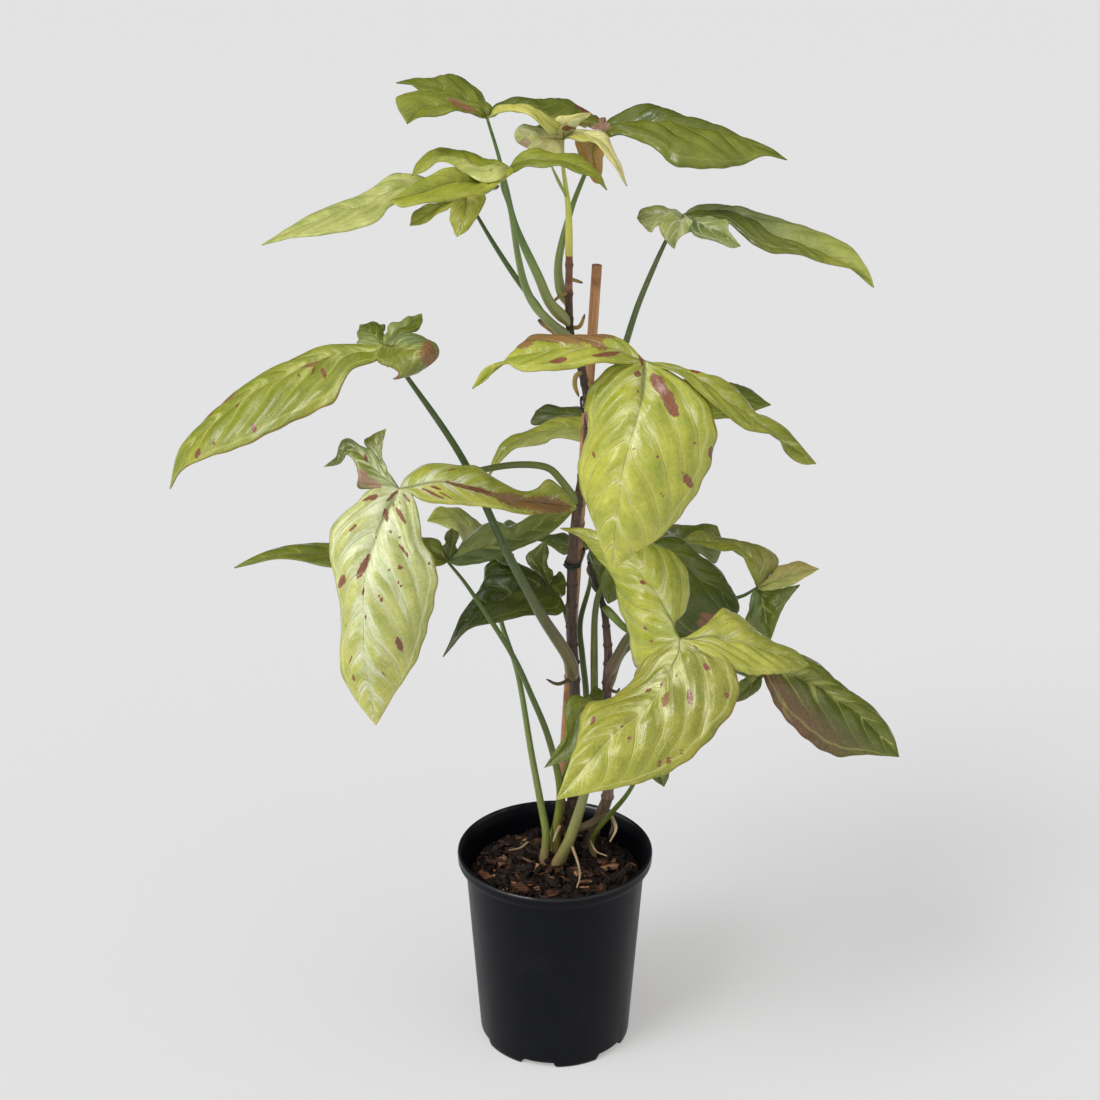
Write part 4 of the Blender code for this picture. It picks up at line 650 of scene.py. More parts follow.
# Leaf colours, as they would show on a well lit card
PALETTE = {
    "chartreuse": (200, 197, 84), "lime": (176, 178, 64), "mellow": (200, 193, 100),
    "butter": (230, 220, 156), "pale": (208, 209, 146), "silver": (222, 226, 188), "soft": (190, 192, 112),
    "grey_green": (150, 160, 98), "fresh": (156, 160, 50), "leaf": (124, 132, 40), "moss": (94, 104, 30),
    "mid": (140, 146, 44), "deep": (60, 74, 16), "dull": (108, 124, 74), "teal": (86, 108, 64),
    "tan": (186, 168, 100), "olive": (140, 136, 62), "umber": (130, 96, 46), "ochre": (176, 134, 62),
    "citron": (152, 149, 50), "basil": (114, 122, 26), "plum": (114, 90, 50), "dusk": (118, 84, 58),
    "bronze": (120, 110, 48),
}

# The other colours, each named for what it is on
TONES = {
    "salmon blotch": (172, 134, 116), "umber mark": (124, 60, 40), "brown patch": (142, 96, 64),
    "underside": (128, 138, 78), "root tip": (40, 34, 26), "stained foot": (160, 124, 98),
    "sheath": (152, 166, 84), "stalk dots": (186, 190, 130), "weathered bark": (124, 100, 78),
    "bark pores": (150, 132, 104), "cane shadow": (168, 114, 68), "cane light": (216, 162, 110),
    "cane patch": (112, 70, 42), "cane joint": (92, 62, 40), "wire dark": (14, 26, 20),
    "wire scuffed": (34, 50, 40), "bed": (26, 18, 13), "bark dust": (150, 112, 84), "pot dark": (9, 10, 15),
    "pot light": (13, 15, 21), "pot dust": (110, 106, 98), "root dark": (150, 122, 86),
    "root light": (206, 184, 146), "paper dark": (175, 177, 180), "paper light": (180, 182, 184),
    "sky seen": (230, 230, 231),
}


def lit(colour):
    """A colour of 0 to 255, or its name in TONES, as the light-linear shares that the shaders take."""
    share = np.array(TONES.get(colour, colour), float) / 255.0
    return tuple(np.where(share <= 0.04045, share / 12.92, ((share + 0.055) / 1.055) ** 2.4))


# How each blade is coloured. tones: for each lobe, the palette names before and after its midrib, and the one
# that both fade to at the tip. cream, flecks and rim: how strongly pale veins and sectors, red-brown flecks
# and a brown margin show. pale: the palette name of the pale veins. salmon, umber and brown: blotches, each
# from a column and row to another with a radius in pixels
LOOKS = {
    "01": dict(
        tones=(("butter", "silver", "pale"), ("butter", "silver", "mellow"),
            ("butter", "mellow", "butter")),
        cream=(0.7, 0.7, 0.7), pale="butter", rim=0.2, salmon=((521, 143, 529, 142, 5),),
        umber=((563, 129, 571, 127, 2.5), (572, 127, 588, 129, 1.6)),
    ),
    "02": dict(
        tones=(("mid", "fresh", "leaf"), ("leaf", "leaf", "leaf"), ("moss", "mellow", "leaf")),
        cream=(0.12, 0.1, 0.2), umber=((575, 106, 592, 114, 3),), brown=((450, 101, 476, 112, 3),),
    ),
    "03": dict(
        tones=(("bronze", "umber", "plum"), ("moss", "basil", "leaf"), ("ochre", "ochre", "ochre")),
        cream=(0.2, 0.08, 0.2), salmon=((596, 128, 608, 128, 8),),
    ),
    "04": dict(
        tones=(("mid", "leaf", "fresh"), ("lime", "fresh", "fresh"), ("soft", "mid", "fresh")),
        cream=(0.12, 0.2, 0.2), umber=((489, 171, 491, 177, 2),),
    ),
    "05": dict(
        tones=(("chartreuse", "chartreuse", "lime"), ("lime", "fresh", "lime"), ("soft", "soft", "soft"),
            ("leaf", "moss", "leaf")),
        cream=(0.25, 0.25, 0.4, 0.2), pale="pale",
    ),
    "06": dict(
        tones=(("grey_green", "moss", "lime"), ("grey_green", "dull", "leaf"), ("pale", "soft", "leaf"),
            ("pale", "soft", "leaf")),
        cream=(0.12, 0.6, 0.8, 0.8), pale="silver", rim=0.1,
    ),
    "07": dict(
        fine=True,
        tones=(("dull", "leaf", "olive"), ("mid", "mid", "fresh"), ("grey_green", "moss", "moss"),
            ("grey_green", "moss", "leaf")),
        cream=(0.5, 0.62, 0.4, 0.4), flecks=0.5, rim=0.45,
        brown=((427, 345, 430, 364, 8), (398, 374, 392, 384, 4), (250, 378, 196, 426, 3),
            (330, 360, 300, 366, 2)),
        umber=((322, 370, 326, 378, 2.2), (315, 366, 312, 375, 1.6), (254, 424, 255, 434, 2.4),
            (200, 450, 197, 458, 2.6), (214, 440, 214, 446, 1.2), (238, 404, 236, 408, 1.2),
            (298, 374, 299, 377, 1.2)),
    ),
    "08": dict(
        fine=True,
        tones=(("lime", "chartreuse", "fresh"), ("soft", "soft", "chartreuse"),
            ("leaf", "grey_green", "moss"), ("leaf", "grey_green", "leaf")),
        cream=(0.6, 1.0, 0.7, 0.8), pale="silver", flecks=0.55, rim=0.2,
        salmon=((361, 472, 363, 485, 6), (366, 482, 380, 486, 4)),
        umber=((364, 501, 377, 497, 2.4), (387, 501, 397, 491, 1.7), (385, 508, 387, 521, 2.4),
            (397, 509, 405, 523, 1.9), (403, 494, 410, 503, 1.4), (393, 501, 395, 508, 1.3),
            (350, 532, 357, 525, 1.7), (358, 577, 369, 555, 3.4), (341, 587, 346, 575, 2.7),
            (363, 595, 364, 588, 1.2), (390, 530, 391, 534, 1.4), (399, 536, 401, 538, 1.9),
            (398, 544, 410, 559, 1.7), (389, 569, 390, 571, 1.9), (398, 566, 401, 568, 2.2),
            (379, 595, 384, 604, 1.6), (398, 581, 403, 589, 1.4), (396, 637, 401, 650, 3.2),
            (365, 615, 366, 620, 1.2), (354, 674, 355, 680, 1.3), (428, 562, 429, 565, 1.5),
            (365, 455, 367, 462, 1.8), (446, 481, 490, 493, 2.0), (422, 489, 444, 499, 1.3),
            (430, 487, 440, 490, 1.2)),
        brown=((470, 487, 500, 497, 3), (496, 496, 530, 505, 7), (524, 503, 566, 508, 9)),
    ),
    "09": dict(
        tones=(("soft", "lime", "mid"), ("moss", "moss", "deep"), ("leaf", "mid", "moss")),
        cream=(0.35, 0.1, 0.2),
    ),
    "10": dict(
        tones=(("leaf", "leaf", "leaf"), ("moss", "moss", "moss"), ("grey_green", "dull", "leaf")),
        cream=(0.2, 0.2, 0.45),
    ),
    "11": dict(
        tones=(("pale", "grey_green", "fresh"), ("dull", "dull", "dull"), ("dull", "teal", "deep")),
        cream=(0.35, 0.3, 0.15),
    ),
    "12": dict(
        fine=True,
        tones=(("lime", "fresh", "leaf"), ("lime", "lime", "chartreuse"), ("lime", "lime", "lime")),
        cream=(0.5, 0.62, 0.5), pale="pale", flecks=0.2, rim=0.2,
        umber=((653, 377, 664, 393, 5.5), (661, 388, 676, 415, 5.5), (711, 447, 712, 459, 3.2),
            (684, 474, 691, 487, 3.8), (635, 373, 641, 374, 3), (691, 371, 702, 373, 2.2),
            (636, 391, 637, 394, 1.3), (638, 432, 640, 433, 1.5), (633, 448, 636, 450, 1.5),
            (594, 452, 597, 458, 1.5), (655, 455, 657, 458, 1.5), (660, 493, 663, 497, 1.4),
            (588, 412, 588, 424, 1.8), (690, 442, 694, 443, 1.1), (616, 481, 617, 483, 1.3),
            (640, 349, 642, 365, 2.2), (593, 357, 618, 355, 2.4), (550, 364, 566, 360, 1.8)),
        brown=((520, 346, 536, 337, 6), (534, 337, 612, 337, 8), (590, 340, 604, 350, 5)),
    ),
    "13": dict(
        fine=True,
        tones=(("chartreuse", "chartreuse", "leaf"), ("citron", "citron", "lime"),
            ("lime", "lime", "lime")),
        cream=(0.5, 0.64, 0.45), pale="pale", flecks=0.3, rim=0.2,
        umber=((641, 581, 646, 584, 1.7), (644, 627, 648, 629, 1.5), (652, 641, 655, 641, 1.4),
            (694, 646, 698, 650, 1.6), (704, 664, 709, 670, 2.6), (688, 689, 691, 705, 2.8),
            (724, 694, 728, 698, 2.6), (646, 692, 651, 689, 2.2), (660, 687, 663, 682, 1.3),
            (592, 725, 595, 718, 1.9), (621, 726, 623, 727, 1.7), (628, 742, 630, 736, 1.7),
            (667, 765, 669, 757, 2.2), (658, 766, 660, 759, 1.7), (680, 749, 681, 754, 1.3),
            (634, 699, 636, 701, 1.2), (676, 674, 677, 677, 1.2)),
        salmon=((635, 660, 636, 668, 2.4),), brown=((664, 706, 668, 694, 4),),
    ),
    "14": dict(
        tones=(("moss", "leaf", "moss"), ("leaf", "moss", "moss"), ("moss", "leaf", "moss")),
        cream=(0.4, 0.5, 0.3), rim=0.2, pale="soft", edges={1: "dusk"},
    ),
    "15": dict(
        tones=(("fresh", "olive", "leaf"), ("tan", "soft", "tan"), ("moss", "dull", "leaf")),
        cream=(0.5, 0.7, 0.4), pale="soft", brown=((800, 588, 808, 596, 3),),
    ),
    "16": dict(
        tones=(("leaf", "leaf", "moss"), ("moss", "moss", "deep"), ("moss", "leaf", "moss")),
        cream=(0.2, 0.1, 0.15), brown=((700, 624, 711, 617, 8),),
    ),
    "17": dict(
        tones=(("moss", "leaf", "moss"), ("moss", "deep", "deep"), ("moss", "moss", "moss")),
        cream=(0.2, 0.2, 0.2),
    ),
    "18": dict(
        tones=(("leaf", "dull", "moss"), ("dull", "leaf", "leaf"), ("moss", "moss", "moss")),
        cream=(0.2, 0.2, 0.2),
    ),
    "19": dict(
        tones=(("moss", "deep", "deep"), ("moss", "deep", "deep"), ("moss", "deep", "deep")),
        cream=(0.1, 0.1, 0.1),
    ),
    "20": dict(
        tones=(("leaf", "moss", "moss"), ("moss", "moss", "moss"), ("leaf", "leaf", "leaf")),
        cream=(0.1, 0.1, 0.1),
    ),
}

# Each stem's bark by the picture's rows, from the top down, and the aerial roots above and below
# GREY_ROOT_ROW
STEM_TONES = {
    "main_stem": ((249, (156, 108, 88)), (256, (122, 70, 46)), (268, (132, 94, 74)), (282, (122, 70, 48)),
        (287, (160, 114, 92)), (294, (80, 48, 32)), (330, (54, 42, 28)), (360, (64, 46, 34)),
        (480, (78, 58, 44)), (560, (86, 64, 52)), (640, (84, 62, 52)), (720, (60, 46, 34)),
        (790, (52, 40, 28))),
    "second_stem": ((560, (60, 46, 38)), (600, (48, 38, 30)), (643, (112, 84, 74)), (683, (104, 76, 68)),
        (700, (58, 44, 36)), (738, (74, 58, 46)), (760, (124, 104, 90)), (796, (132, 110, 92)),
        (820, (96, 76, 58))),
}
ROOT_TONES = ((160, 134, 62), (104, 88, 62))

# The potting bark's browns
BARK_TONES = (
    (44, 27, 18), (54, 33, 22), (34, 22, 15), (96, 60, 40), (27, 18, 13), (24, 16, 12), (70, 42, 28),
    (28, 18, 13), (40, 25, 17), (30, 20, 14), (36, 23, 16), (146, 106, 76),
)

# The colours of each stalk at its foot and at its blade
STALK_LOW = (122, 132, 56)
STALK_HIGH = (84, 102, 36)
STALK_FOOT = {
    "01": (206, 198, 88), "02": (158, 158, 94), "03": (146, 154, 84), "04": (140, 142, 90),
    "07": (112, 100, 62), "10": (150, 152, 70), "11": (138, 148, 76), "13": (112, 88, 70),
    "14": (126, 146, 70), "15": (128, 126, 60), "16": (164, 160, 98), "19": (136, 148, 76),
}
STALK_BLADE = {
    "01": (190, 196, 88), "02": (98, 126, 62), "03": (112, 132, 66), "04": (114, 134, 70),
    "05": (80, 104, 42), "06": (88, 102, 52), "07": (70, 88, 38), "08": (104, 116, 54),
    "11": (116, 134, 62), "14": (98, 122, 62), "16": (94, 104, 44), "19": (88, 102, 46),
}


def seen(point):
    """The place, in millimetres, of a point given by its column, row and depth behind the pot's axis."""
    column, row, depth = point
    ahead = Vector((0.0, math.cos(LOOK_DOWN), -math.sin(LOOK_DOWN)))
    above = Vector((0.0, math.sin(LOOK_DOWN), math.cos(LOOK_DOWN)))
    ray = ahead + Vector((1.0, 0.0, 0.0)) * ((column - MIDDLE) / FOCAL) - above * ((row - MIDDLE) / FOCAL)
    return np.array(EYE + ray * ((depth - EYE.y) / ray.y))


def shown(places):
    """The columns and rows where places in millimetres show: seen() the other way round."""
    ahead = np.array([0.0, math.cos(LOOK_DOWN), -math.sin(LOOK_DOWN)])
    above = np.array([0.0, math.sin(LOOK_DOWN), math.cos(LOOK_DOWN)])
    away = places - np.array(EYE)
    depth = away @ ahead
    return MIDDLE + FOCAL * away[..., 0] / depth, MIDDLE - FOCAL * (away @ above) / depth


def running_length(places):
    """How far each place lies along the line through them all."""
    return np.concatenate([[0.0], np.cumsum(np.linalg.norm(np.diff(places, axis=0), axis=1))])


def smooth_through(points):
    """A smooth curve through the points: a Catmull-Rom spline, with its running length."""
    points = np.asarray(points, float)
    ends = np.vstack([2 * points[0] - points[1], points, 2 * points[-1] - points[-2]])
    a, b, c, d = (ends[k : len(ends) - 3 + k, None] for k in range(4))
    t = np.linspace(0.0, 1.0, SPLINE_STEPS, endpoint=False)[None, :, None]
    square = (2 * a - 5 * b + 4 * c - d) * t**2
    cube = (3 * b - a - 3 * c + d) * t**3
    spans = 0.5 * (2 * b + (c - a) * t + square + cube)
    curve = np.vstack([spans.reshape(-1, 3), points[-1:]])
    return curve, running_length(curve)


def at_lengths(curve, run, lengths):
    """The places at these running lengths of a curve."""
    return np.stack([np.interp(lengths, run, curve[:, k]) for k in range(3)], -1)


def evenly(points, steps):
    """A smooth curve through the points in even steps."""
    curve, run = smooth_through(points)
    return at_lengths(curve, run, np.linspace(0.0, run[-1], steps + 1))


def spread(values, share):
    """Values given in even steps, read at these shares of the way."""
    return np.interp(share, np.linspace(0, 1, len(values)), values)


def round_turns(sides):
    """The angles of this many even steps round a circle."""
    return np.linspace(0.0, 2 * math.pi, sides, endpoint=False)


def unit(vectors):
    """The vectors, each brought to a length of 1."""
    return vectors / np.maximum(np.linalg.norm(vectors, axis=-1, keepdims=True), 1e-9)


def smooth_step(low, high, values):
    """0 below low, 1 above high, and a smooth S between."""
    share = np.clip((values - low) / (high - low), 0.0, 1.0)
    return share * share * (3 - 2 * share)


def blended(first, second, share):
    """The first at a share of 0, the second at 1, and even steps between."""
    return np.asarray(first) * (1 - share) + np.asarray(second) * share


def add_piece(name, slot, nodes, shape, *materials, smooth=True):
    """A mesh piece. Its shape is places in millimetres, faces, and named values or colours at the places."""
    places, faces, fields = shape
    mesh = bpy.data.meshes.new(name)
    mesh.from_pydata((np.asarray(places) * MM).tolist(), [], faces)
    for title, values in fields.items():
        values = np.asarray(values, np.float32)
        if values.ndim == 2:
            layer = mesh.attributes.new(title, "FLOAT_COLOR", "POINT")
            opaque = np.ones((len(values), 1), np.float32)
            layer.data.foreach_set("color", np.hstack([values, opaque]).ravel())
        else:
            layer = mesh.attributes.new(title, "FLOAT", "POINT")
            layer.data.foreach_set("value", values)
    for material in materials:
        mesh.materials.append(material)
    if smooth:
        mesh.shade_smooth()
    mesh.update()
    piece = bpy.data.objects.new(name, mesh)
    bpy.context.scene.collection.objects.link(piece)
    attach(piece, "root")
    if nodes:
        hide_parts(*nodes)
    return piece


def quads(index):
    """The faces of a grid, from the numbers of its vertices in rows and columns."""
    return np.stack([index[:-1, :-1], index[:-1, 1:], index[1:, 1:], index[1:, :-1]], -1)


def ring_faces(rings, sides):
    """The faces of a grid of rings, each joined round."""
    index = np.arange(rings * sides).reshape(rings, sides)
    return quads(np.hstack([index, index[:, :1]])).reshape(-1, 4)


def closed_rings(rings, sides):
    """Those faces, and a fan at each end round one more vertex. The two follow the rings' vertices."""
    ends = np.arange(sides)
    after = np.roll(ends, -1)
    first, tail = rings * sides, (rings - 1) * sides
    start = np.stack([np.full(sides, first), after, ends], -1)
    finish = np.stack([np.full(sides, first + 1), tail + ends, tail + after], -1)
    return ring_faces(rings, sides).tolist() + np.vstack([start, finish]).tolist()


def margin(leaf, points, web, tip, rows):
    """A lobe's margin: even steps along the web to the notch, then even steps along the free edge."""
    places = [seen(leaf["junction"]), *map(seen, web), *map(seen, points), seen(tip)]
    curve, run = smooth_through(places)
    at_notch = run[len(web) * SPLINE_STEPS] if web else run[-1] * WEB_ROWS / rows
    by_web = np.linspace(0.0, at_notch, WEB_ROWS, endpoint=False)
    by_edge = np.linspace(at_notch, run[-1], rows - WEB_ROWS + 1)
    return at_lengths(curve, run, np.concatenate([by_web, by_edge]))


FIELD_NAMES = ("along", "across", "phase", "off_rib", "lobe", "breadth", "cream")


def blade_surface(name, leaf):
    """A blade's vertices, faces and the fields that its colouring reads.

    Each half of a lobe is lofted from the midrib to its margin: rib + reach * out, plus a swell of
    upward * width * SWELL * 4 * out * (1 - out). along and across run 0 to 1 from junction to tip and from
    midrib to margin. The phase of the side veins is along less a sweep towards the tip, in vein spacings.
    """
    look = LOOKS[name]
    places, faces = [seen(leaf["junction"])], []
    fields = {"tone": [None], **{title: [0.0] for title in FIELD_NAMES}}
    previous = None
    columns = FINE_COLUMNS if look.get("fine") else COLUMNS
    webs = ((), *leaf["webs"], ())
    lines = leaf["lobes"]
    for number, (midrib, edge_before, edge_after) in enumerate(zip(lines[::3], lines[1::3], lines[2::3])):
        length = np.linalg.norm(seen(midrib[-1]) - seen(leaf["junction"]))
        rows = (LONG_ROWS if length > LONG_RIB else SHORT_ROWS) * (3 if look.get("fine") else 2) // 2
        rib = evenly([seen(leaf["junction"]), *map(seen, midrib)], rows)
        forward = unit(np.gradient(rib, axis=0))
        out = np.concatenate([-np.linspace(1, 0, columns, endpoint=False), np.linspace(0, 1, columns + 1)])
        out = np.sign(out) * abs(out) ** 1.2
        share = np.linspace(0.0, 1.0, rows + 1)[:, None]
        grid = np.repeat(rib[:, None], len(out), 1)
        off_rib = np.zeros(grid.shape[:2])
        for side, points, web in ((-1, edge_before, webs[number]), (1, edge_after, webs[number + 1])):
            edge = margin(leaf, points, web, midrib[-1], rows)
            ragged = np.sin(37.0 * share + 5.0 * number + side) * np.sin(23.0 * share + number)
            ragged = MARGIN_JITTER * ragged
            reach = (edge - rib)[:, None] * (1 + ragged * smooth_step(0.08, 0.2, share))[..., None]
            upward = unit(np.cross(reach * side, forward[:, None]))
            width = np.linalg.norm(reach, axis=2, keepdims=True)
            mine = (out * side > 0)[None, :, None]
            far = np.where(mine, abs(out)[None, :, None], 0.0)
            grid = grid + mine * (reach * far + upward * width * SWELL * 4 * far * (1 - far))
            off_rib = off_rib + (mine * width * far)[..., 0]
        across = np.abs(out)[None, :] + 0 * share
        up_rib = share * np.linalg.norm(np.diff(rib, axis=0), axis=1).sum()
        swept = off_rib * (0.9 + 0.9 * across**2)
        start = up_rib - swept / math.tan(VEIN_ANGLE)
        fan = np.arctan2(swept, up_rib + 1e-6) - VEIN_ANGLE
        count = FEWEST_VEINS + length / VEIN_SPACING
        phase = np.where(start > 0, start / length * count, -fan / FAN_ANGLE)
        phase = phase + 0.2 * np.sign(out)[None] * np.minimum(across * 8, 1)
        before, after, last = (lit(PALETTE[tone]) for tone in look["tones"][number])
        blend = smooth_step(-0.10, 0.10, out)[None, :, None]
        fade = 0.75 * smooth_step(0.25, 0.95, share)[..., None]
        tone = blended(blended(before, after, blend), last, fade)
        if number in look.get("edges", {}):
            near = (smooth_step(0.3, 0.8, out)[None] * (1 - smooth_step(0.4, 0.95, share)))[..., None]
            tone = blended(tone, lit(PALETTE[look["edges"][number]]), near)
        values = {
            "tone": tone, "along": share + 0 * across, "across": across, "phase": phase,
            "off_rib": off_rib, "lobe": number + 0 * across, "breadth": off_rib.max() + 0 * across,
            "cream": look["cream"][number] + 0 * across,
        }
        index = np.arange(len(places), len(places) + grid[1:].size // 3).reshape(rows, len(out))
        index = np.vstack([np.zeros((1, len(out)), int), index])
        places += list(grid[1:].reshape(-1, 3))
        for title, value in values.items():
            fields[title] += list(value[1:].reshape(-1, 3) if title == "tone" else value[1:].ravel())
        if previous is not None:
            for mine, theirs in zip(index[1 : WEB_ROWS + 1, 0], previous):
                places[theirs] = 0.5 * (places[theirs] + places[mine])
            index[1 : WEB_ROWS + 1, 0] = previous
        index[rows] = index[rows, columns]
        previous = index[1 : WEB_ROWS + 1, -1].copy()
        cells = quads(index)
        faces += cells[0][:, [0, 2, 3]].tolist()
        faces += cells[1:-1].reshape(-1, 4).tolist()
        faces += cells[-1][:, :3].tolist()
    fields["tone"][0] = fields["tone"][1 + columns]
    fields["phase"][0] = -0.5
    fields["cream"][0] = look["cream"][0]
    return np.array(places), faces, {title: np.array(value) for title, value in fields.items()}


def surface_normals(places, faces):
    """Each vertex's normal: the mean of its faces', weighted by their area."""
    corners = np.array([face if len(face) == 4 else [*face, face[2]] for face in faces])
    a, b, c, d = (places[corners[:, k]] for k in range(4))
    facing = np.cross(c - a, d - b)
    normals = np.zeros_like(places)
    for k in range(4):
        np.add.at(normals, corners[:, k], facing)
    return unit(normals)


def blotch(columns, rows, marks):
    """How far each vertex lies inside the nearest mark: 1 at its middle line, 0 at its edge and less outside.
    A mark is a spindle, widest half way and about half as wide at its rounded ends."""
    field = np.full(columns.shape, -1.0)
    for x1, y1, x2, y2, radius in marks:
        run = np.array([x2 - x1, y2 - y1], float)
        share = ((columns - x1) * run[0] + (rows - y1) * run[1]) / max(run @ run, 1e-6)
        share = np.clip(share, 0.0, 1.0)
        apart = np.hypot(columns - x1 - share * run[0], rows - y1 - share * run[1])
        width = radius * (1.15 - 0.6 * abs(2 * share - 1) ** 2)
        field = np.maximum(field, np.maximum(1.0 - apart / width, -1.0))
    return field


def by_breadth(breadth, amounts):
    """A share of the lobe's breadth, kept between the least and the most."""
    share, least, most = amounts
    return np.clip(share * breadth, least, most)


def add_blade(name, leaf, upper, under):
    """A blade: its lofted sheet with puffs between the side veins, a groove along the midrib and a gently
    waved margin, then given its thickness."""
    places, faces, fields = blade_surface(name, leaf)
    look = LOOKS[name]
    normals = surface_normals(places, faces)
    across, along, off_rib = fields["across"], fields["along"], fields["off_rib"]
    number = int(name)
    breadth = fields.pop("breadth")
    puff = (0.5 - 0.5 * np.cos(2 * math.pi * (fields["phase"] - 0.5))) * np.minimum(off_rib / 8.0, 1.0)
    puff = puff * by_breadth(breadth, PUFF)
    groove = -by_breadth(breadth, GROOVE) * np.exp(-((off_rib / 3.0) ** 2))
    groove = groove * smooth_step(0.0, 0.06, along) * (1 - along)
    rolls = np.sin(0.11 * off_rib + 9.0 * along + number)
    rolls = rolls * np.sin(13.0 * along + 1.3 * number + fields["lobe"])
    rolls = rolls * by_breadth(breadth, ROLLS) * (1 - across**2)
    wave = np.sin(along * (17.0 + number % 5) + 2.1 * number + 1.7 * fields["lobe"])
    wave = WAVE * wave * across**3 * smooth_step(0.05, 0.3, along) * (1 - along**3)
    body = (puff + rolls) * (1 - along**2) * smooth_step(0.0, 0.12, along)
    relief = body * (1 - across**3) + groove + wave
    columns, rows = shown(places)
    places = places + normals * relief[:, None]
    for mark in ("salmon", "umber", "brown"):
        fields[mark] = blotch(columns, rows, look.get(mark, ()))
    for amount in ("flecks", "rim"):
        fields[amount] = np.full(len(places), look.get(amount, 0.0))
    fields["pale"] = np.tile(lit(PALETTE[look.get("pale", "soft")]), (len(places), 1))
    slot = "young blade" if name in YOUNG_BLADES else "grown blade"
    blade = add_piece(f"leaf_{name}", slot, [f"blade_{name}"], (places, faces, fields), upper, under)
    wall = blade.modifiers.new("thickness", "SOLIDIFY")
    wall.thickness = BLADE_THICK * MM
    wall.offset = 0.0
    wall.material_offset = 1


def tube_mesh(places, radii, sides):
    """A round tube, closed at both ends. A ring is place + radius * (side * cos(turn) + up * sin(turn)), with
    side and up square to the path and carried along it without twist."""
    places = np.asarray(places, float)
    forward = unit(np.gradient(places, axis=0))
    side = np.zeros_like(places)
    start = np.cross(forward[0], [0.31, 0.17, 0.93])
    for k in range(len(places)):
        start = start - forward[k] * (start @ forward[k])
        start = start / np.linalg.norm(start)
        side[k] = start
    up = np.cross(forward, side)
    turns = round_turns(sides)
    radii = np.asarray(radii, float)
    radii = radii[:, None] if radii.ndim == 1 else radii
    ring = side[:, None] * np.cos(turns)[None, :, None] + up[:, None] * np.sin(turns)[None, :, None]
    body = (places[:, None] + ring * radii[..., None]).reshape(-1, 3)
    share = np.linspace(0.0, 1.0, len(places))
    along = np.append(np.repeat(share, sides), [0.0, 1.0])
    around = np.append(np.tile(turns / (2 * math.pi), len(places)), [0.0, 0.0])
    run = running_length(places)
    reach = np.append(np.repeat(run, sides), [0.0, run[-1]])
    body = np.vstack([body, places[0], places[-1]])
    return body, closed_rings(len(places), sides), {"along": along, "around": around, "reach": reach}


def joined(meshes):
    """Several meshes as one: their vertices, faces and fields stacked."""
    places, faces, fields, start = [], [], {}, 0
    for part_places, part_faces, part_fields in meshes:
        places.append(part_places)
        faces += [[corner + start for corner in face] for face in part_faces]
        start += len(part_places)
        for title, values in part_fields.items():
            fields.setdefault(title, []).append(values)
    return np.vstack(places), faces, {title: np.concatenate(values) for title, values in fields.items()}


def stem_places(name, steps):
    """A stem's middle line, from its foot in the potting bark up."""
    x, y = ROOTED[name]
    above = evenly([np.array([x, y, SOIL_LEVEL + 4.0]), *map(seen, STEMS[name]["path"])], steps)
    return np.vstack([[[x, y, SOIL_LEVEL - FOOT_DEPTH]], above])


def stem_at_row(name, row):
    """The place and radius of a stem where it shows at a row of the picture."""
    places = stem_places(name, 120)
    nearest = int(np.argmin(abs(shown(places)[1] - row)))
    return places[nearest], spread(STEMS[name]["radii"], nearest / (len(places) - 1))


def add_stem(name, material):
    """A climbing stem that swells a little at each ring scar, with its aerial roots."""
    places = stem_places(name, STEM_STEPS)
    radius = spread(STEMS[name]["radii"], np.linspace(0.0, 1.0, len(places)))
    run = running_length(places)
    ring = (run / INTERNODE + 0.35 * np.sin(run / 31.0)) % 1.0
    scar = np.exp(-(((ring - 0.5) / SCAR_WIDTH) ** 2))
    turns, up = round_turns(STEM_SIDES)[None], run[:, None]
    knobbly = 1 + 0.05 * np.sin(3 * turns + up / 9) + 0.03 * np.sin(7 * turns - up / 4)
    radii = (radius * (1 + SCAR_SWELL * scar - 0.05 * (1 - scar)))[:, None] * knobbly
    body, faces, fields = tube_mesh(places, radii, STEM_SIDES)
    fields["scar"] = np.append(np.repeat(scar, STEM_SIDES), [0.0, 0.0])
    heights, bands = zip(*STEM_TONES[name])
    rows = shown(body)[1]
    bands = np.array([lit(tone) for tone in bands])
    fields["tone"] = np.stack([np.interp(rows, heights, bands[:, k]) for k in range(3)], -1)
    pieces = [(body, faces, fields)]
    for root in AERIAL_ROOTS[name]:
        path = evenly([seen(point) for point in root["path"]], ROOT_STEPS)
        share = np.linspace(0.0, 1.0, ROOT_STEPS + 1)
        width = spread(root["radii"], share) * np.sqrt(1 - 0.92 * smooth_step(0.8, 1.0, share) ** 2)
        body, faces, fields = tube_mesh(path, width, ROOT_SIDES)
        fields["scar"] = np.full(len(body), 0.1)
        skin = lit(ROOT_TONES[int(root["path"][0][1] > GREY_ROOT_ROW)])
        fields["tone"] = blended(skin, lit("root tip"), smooth_step(0.75, 1.0, fields["along"])[:, None])
        pieces.append((body, faces, fields))
    add_piece(f"{name}_wood", "stem bark", [name], joined(pieces), material)


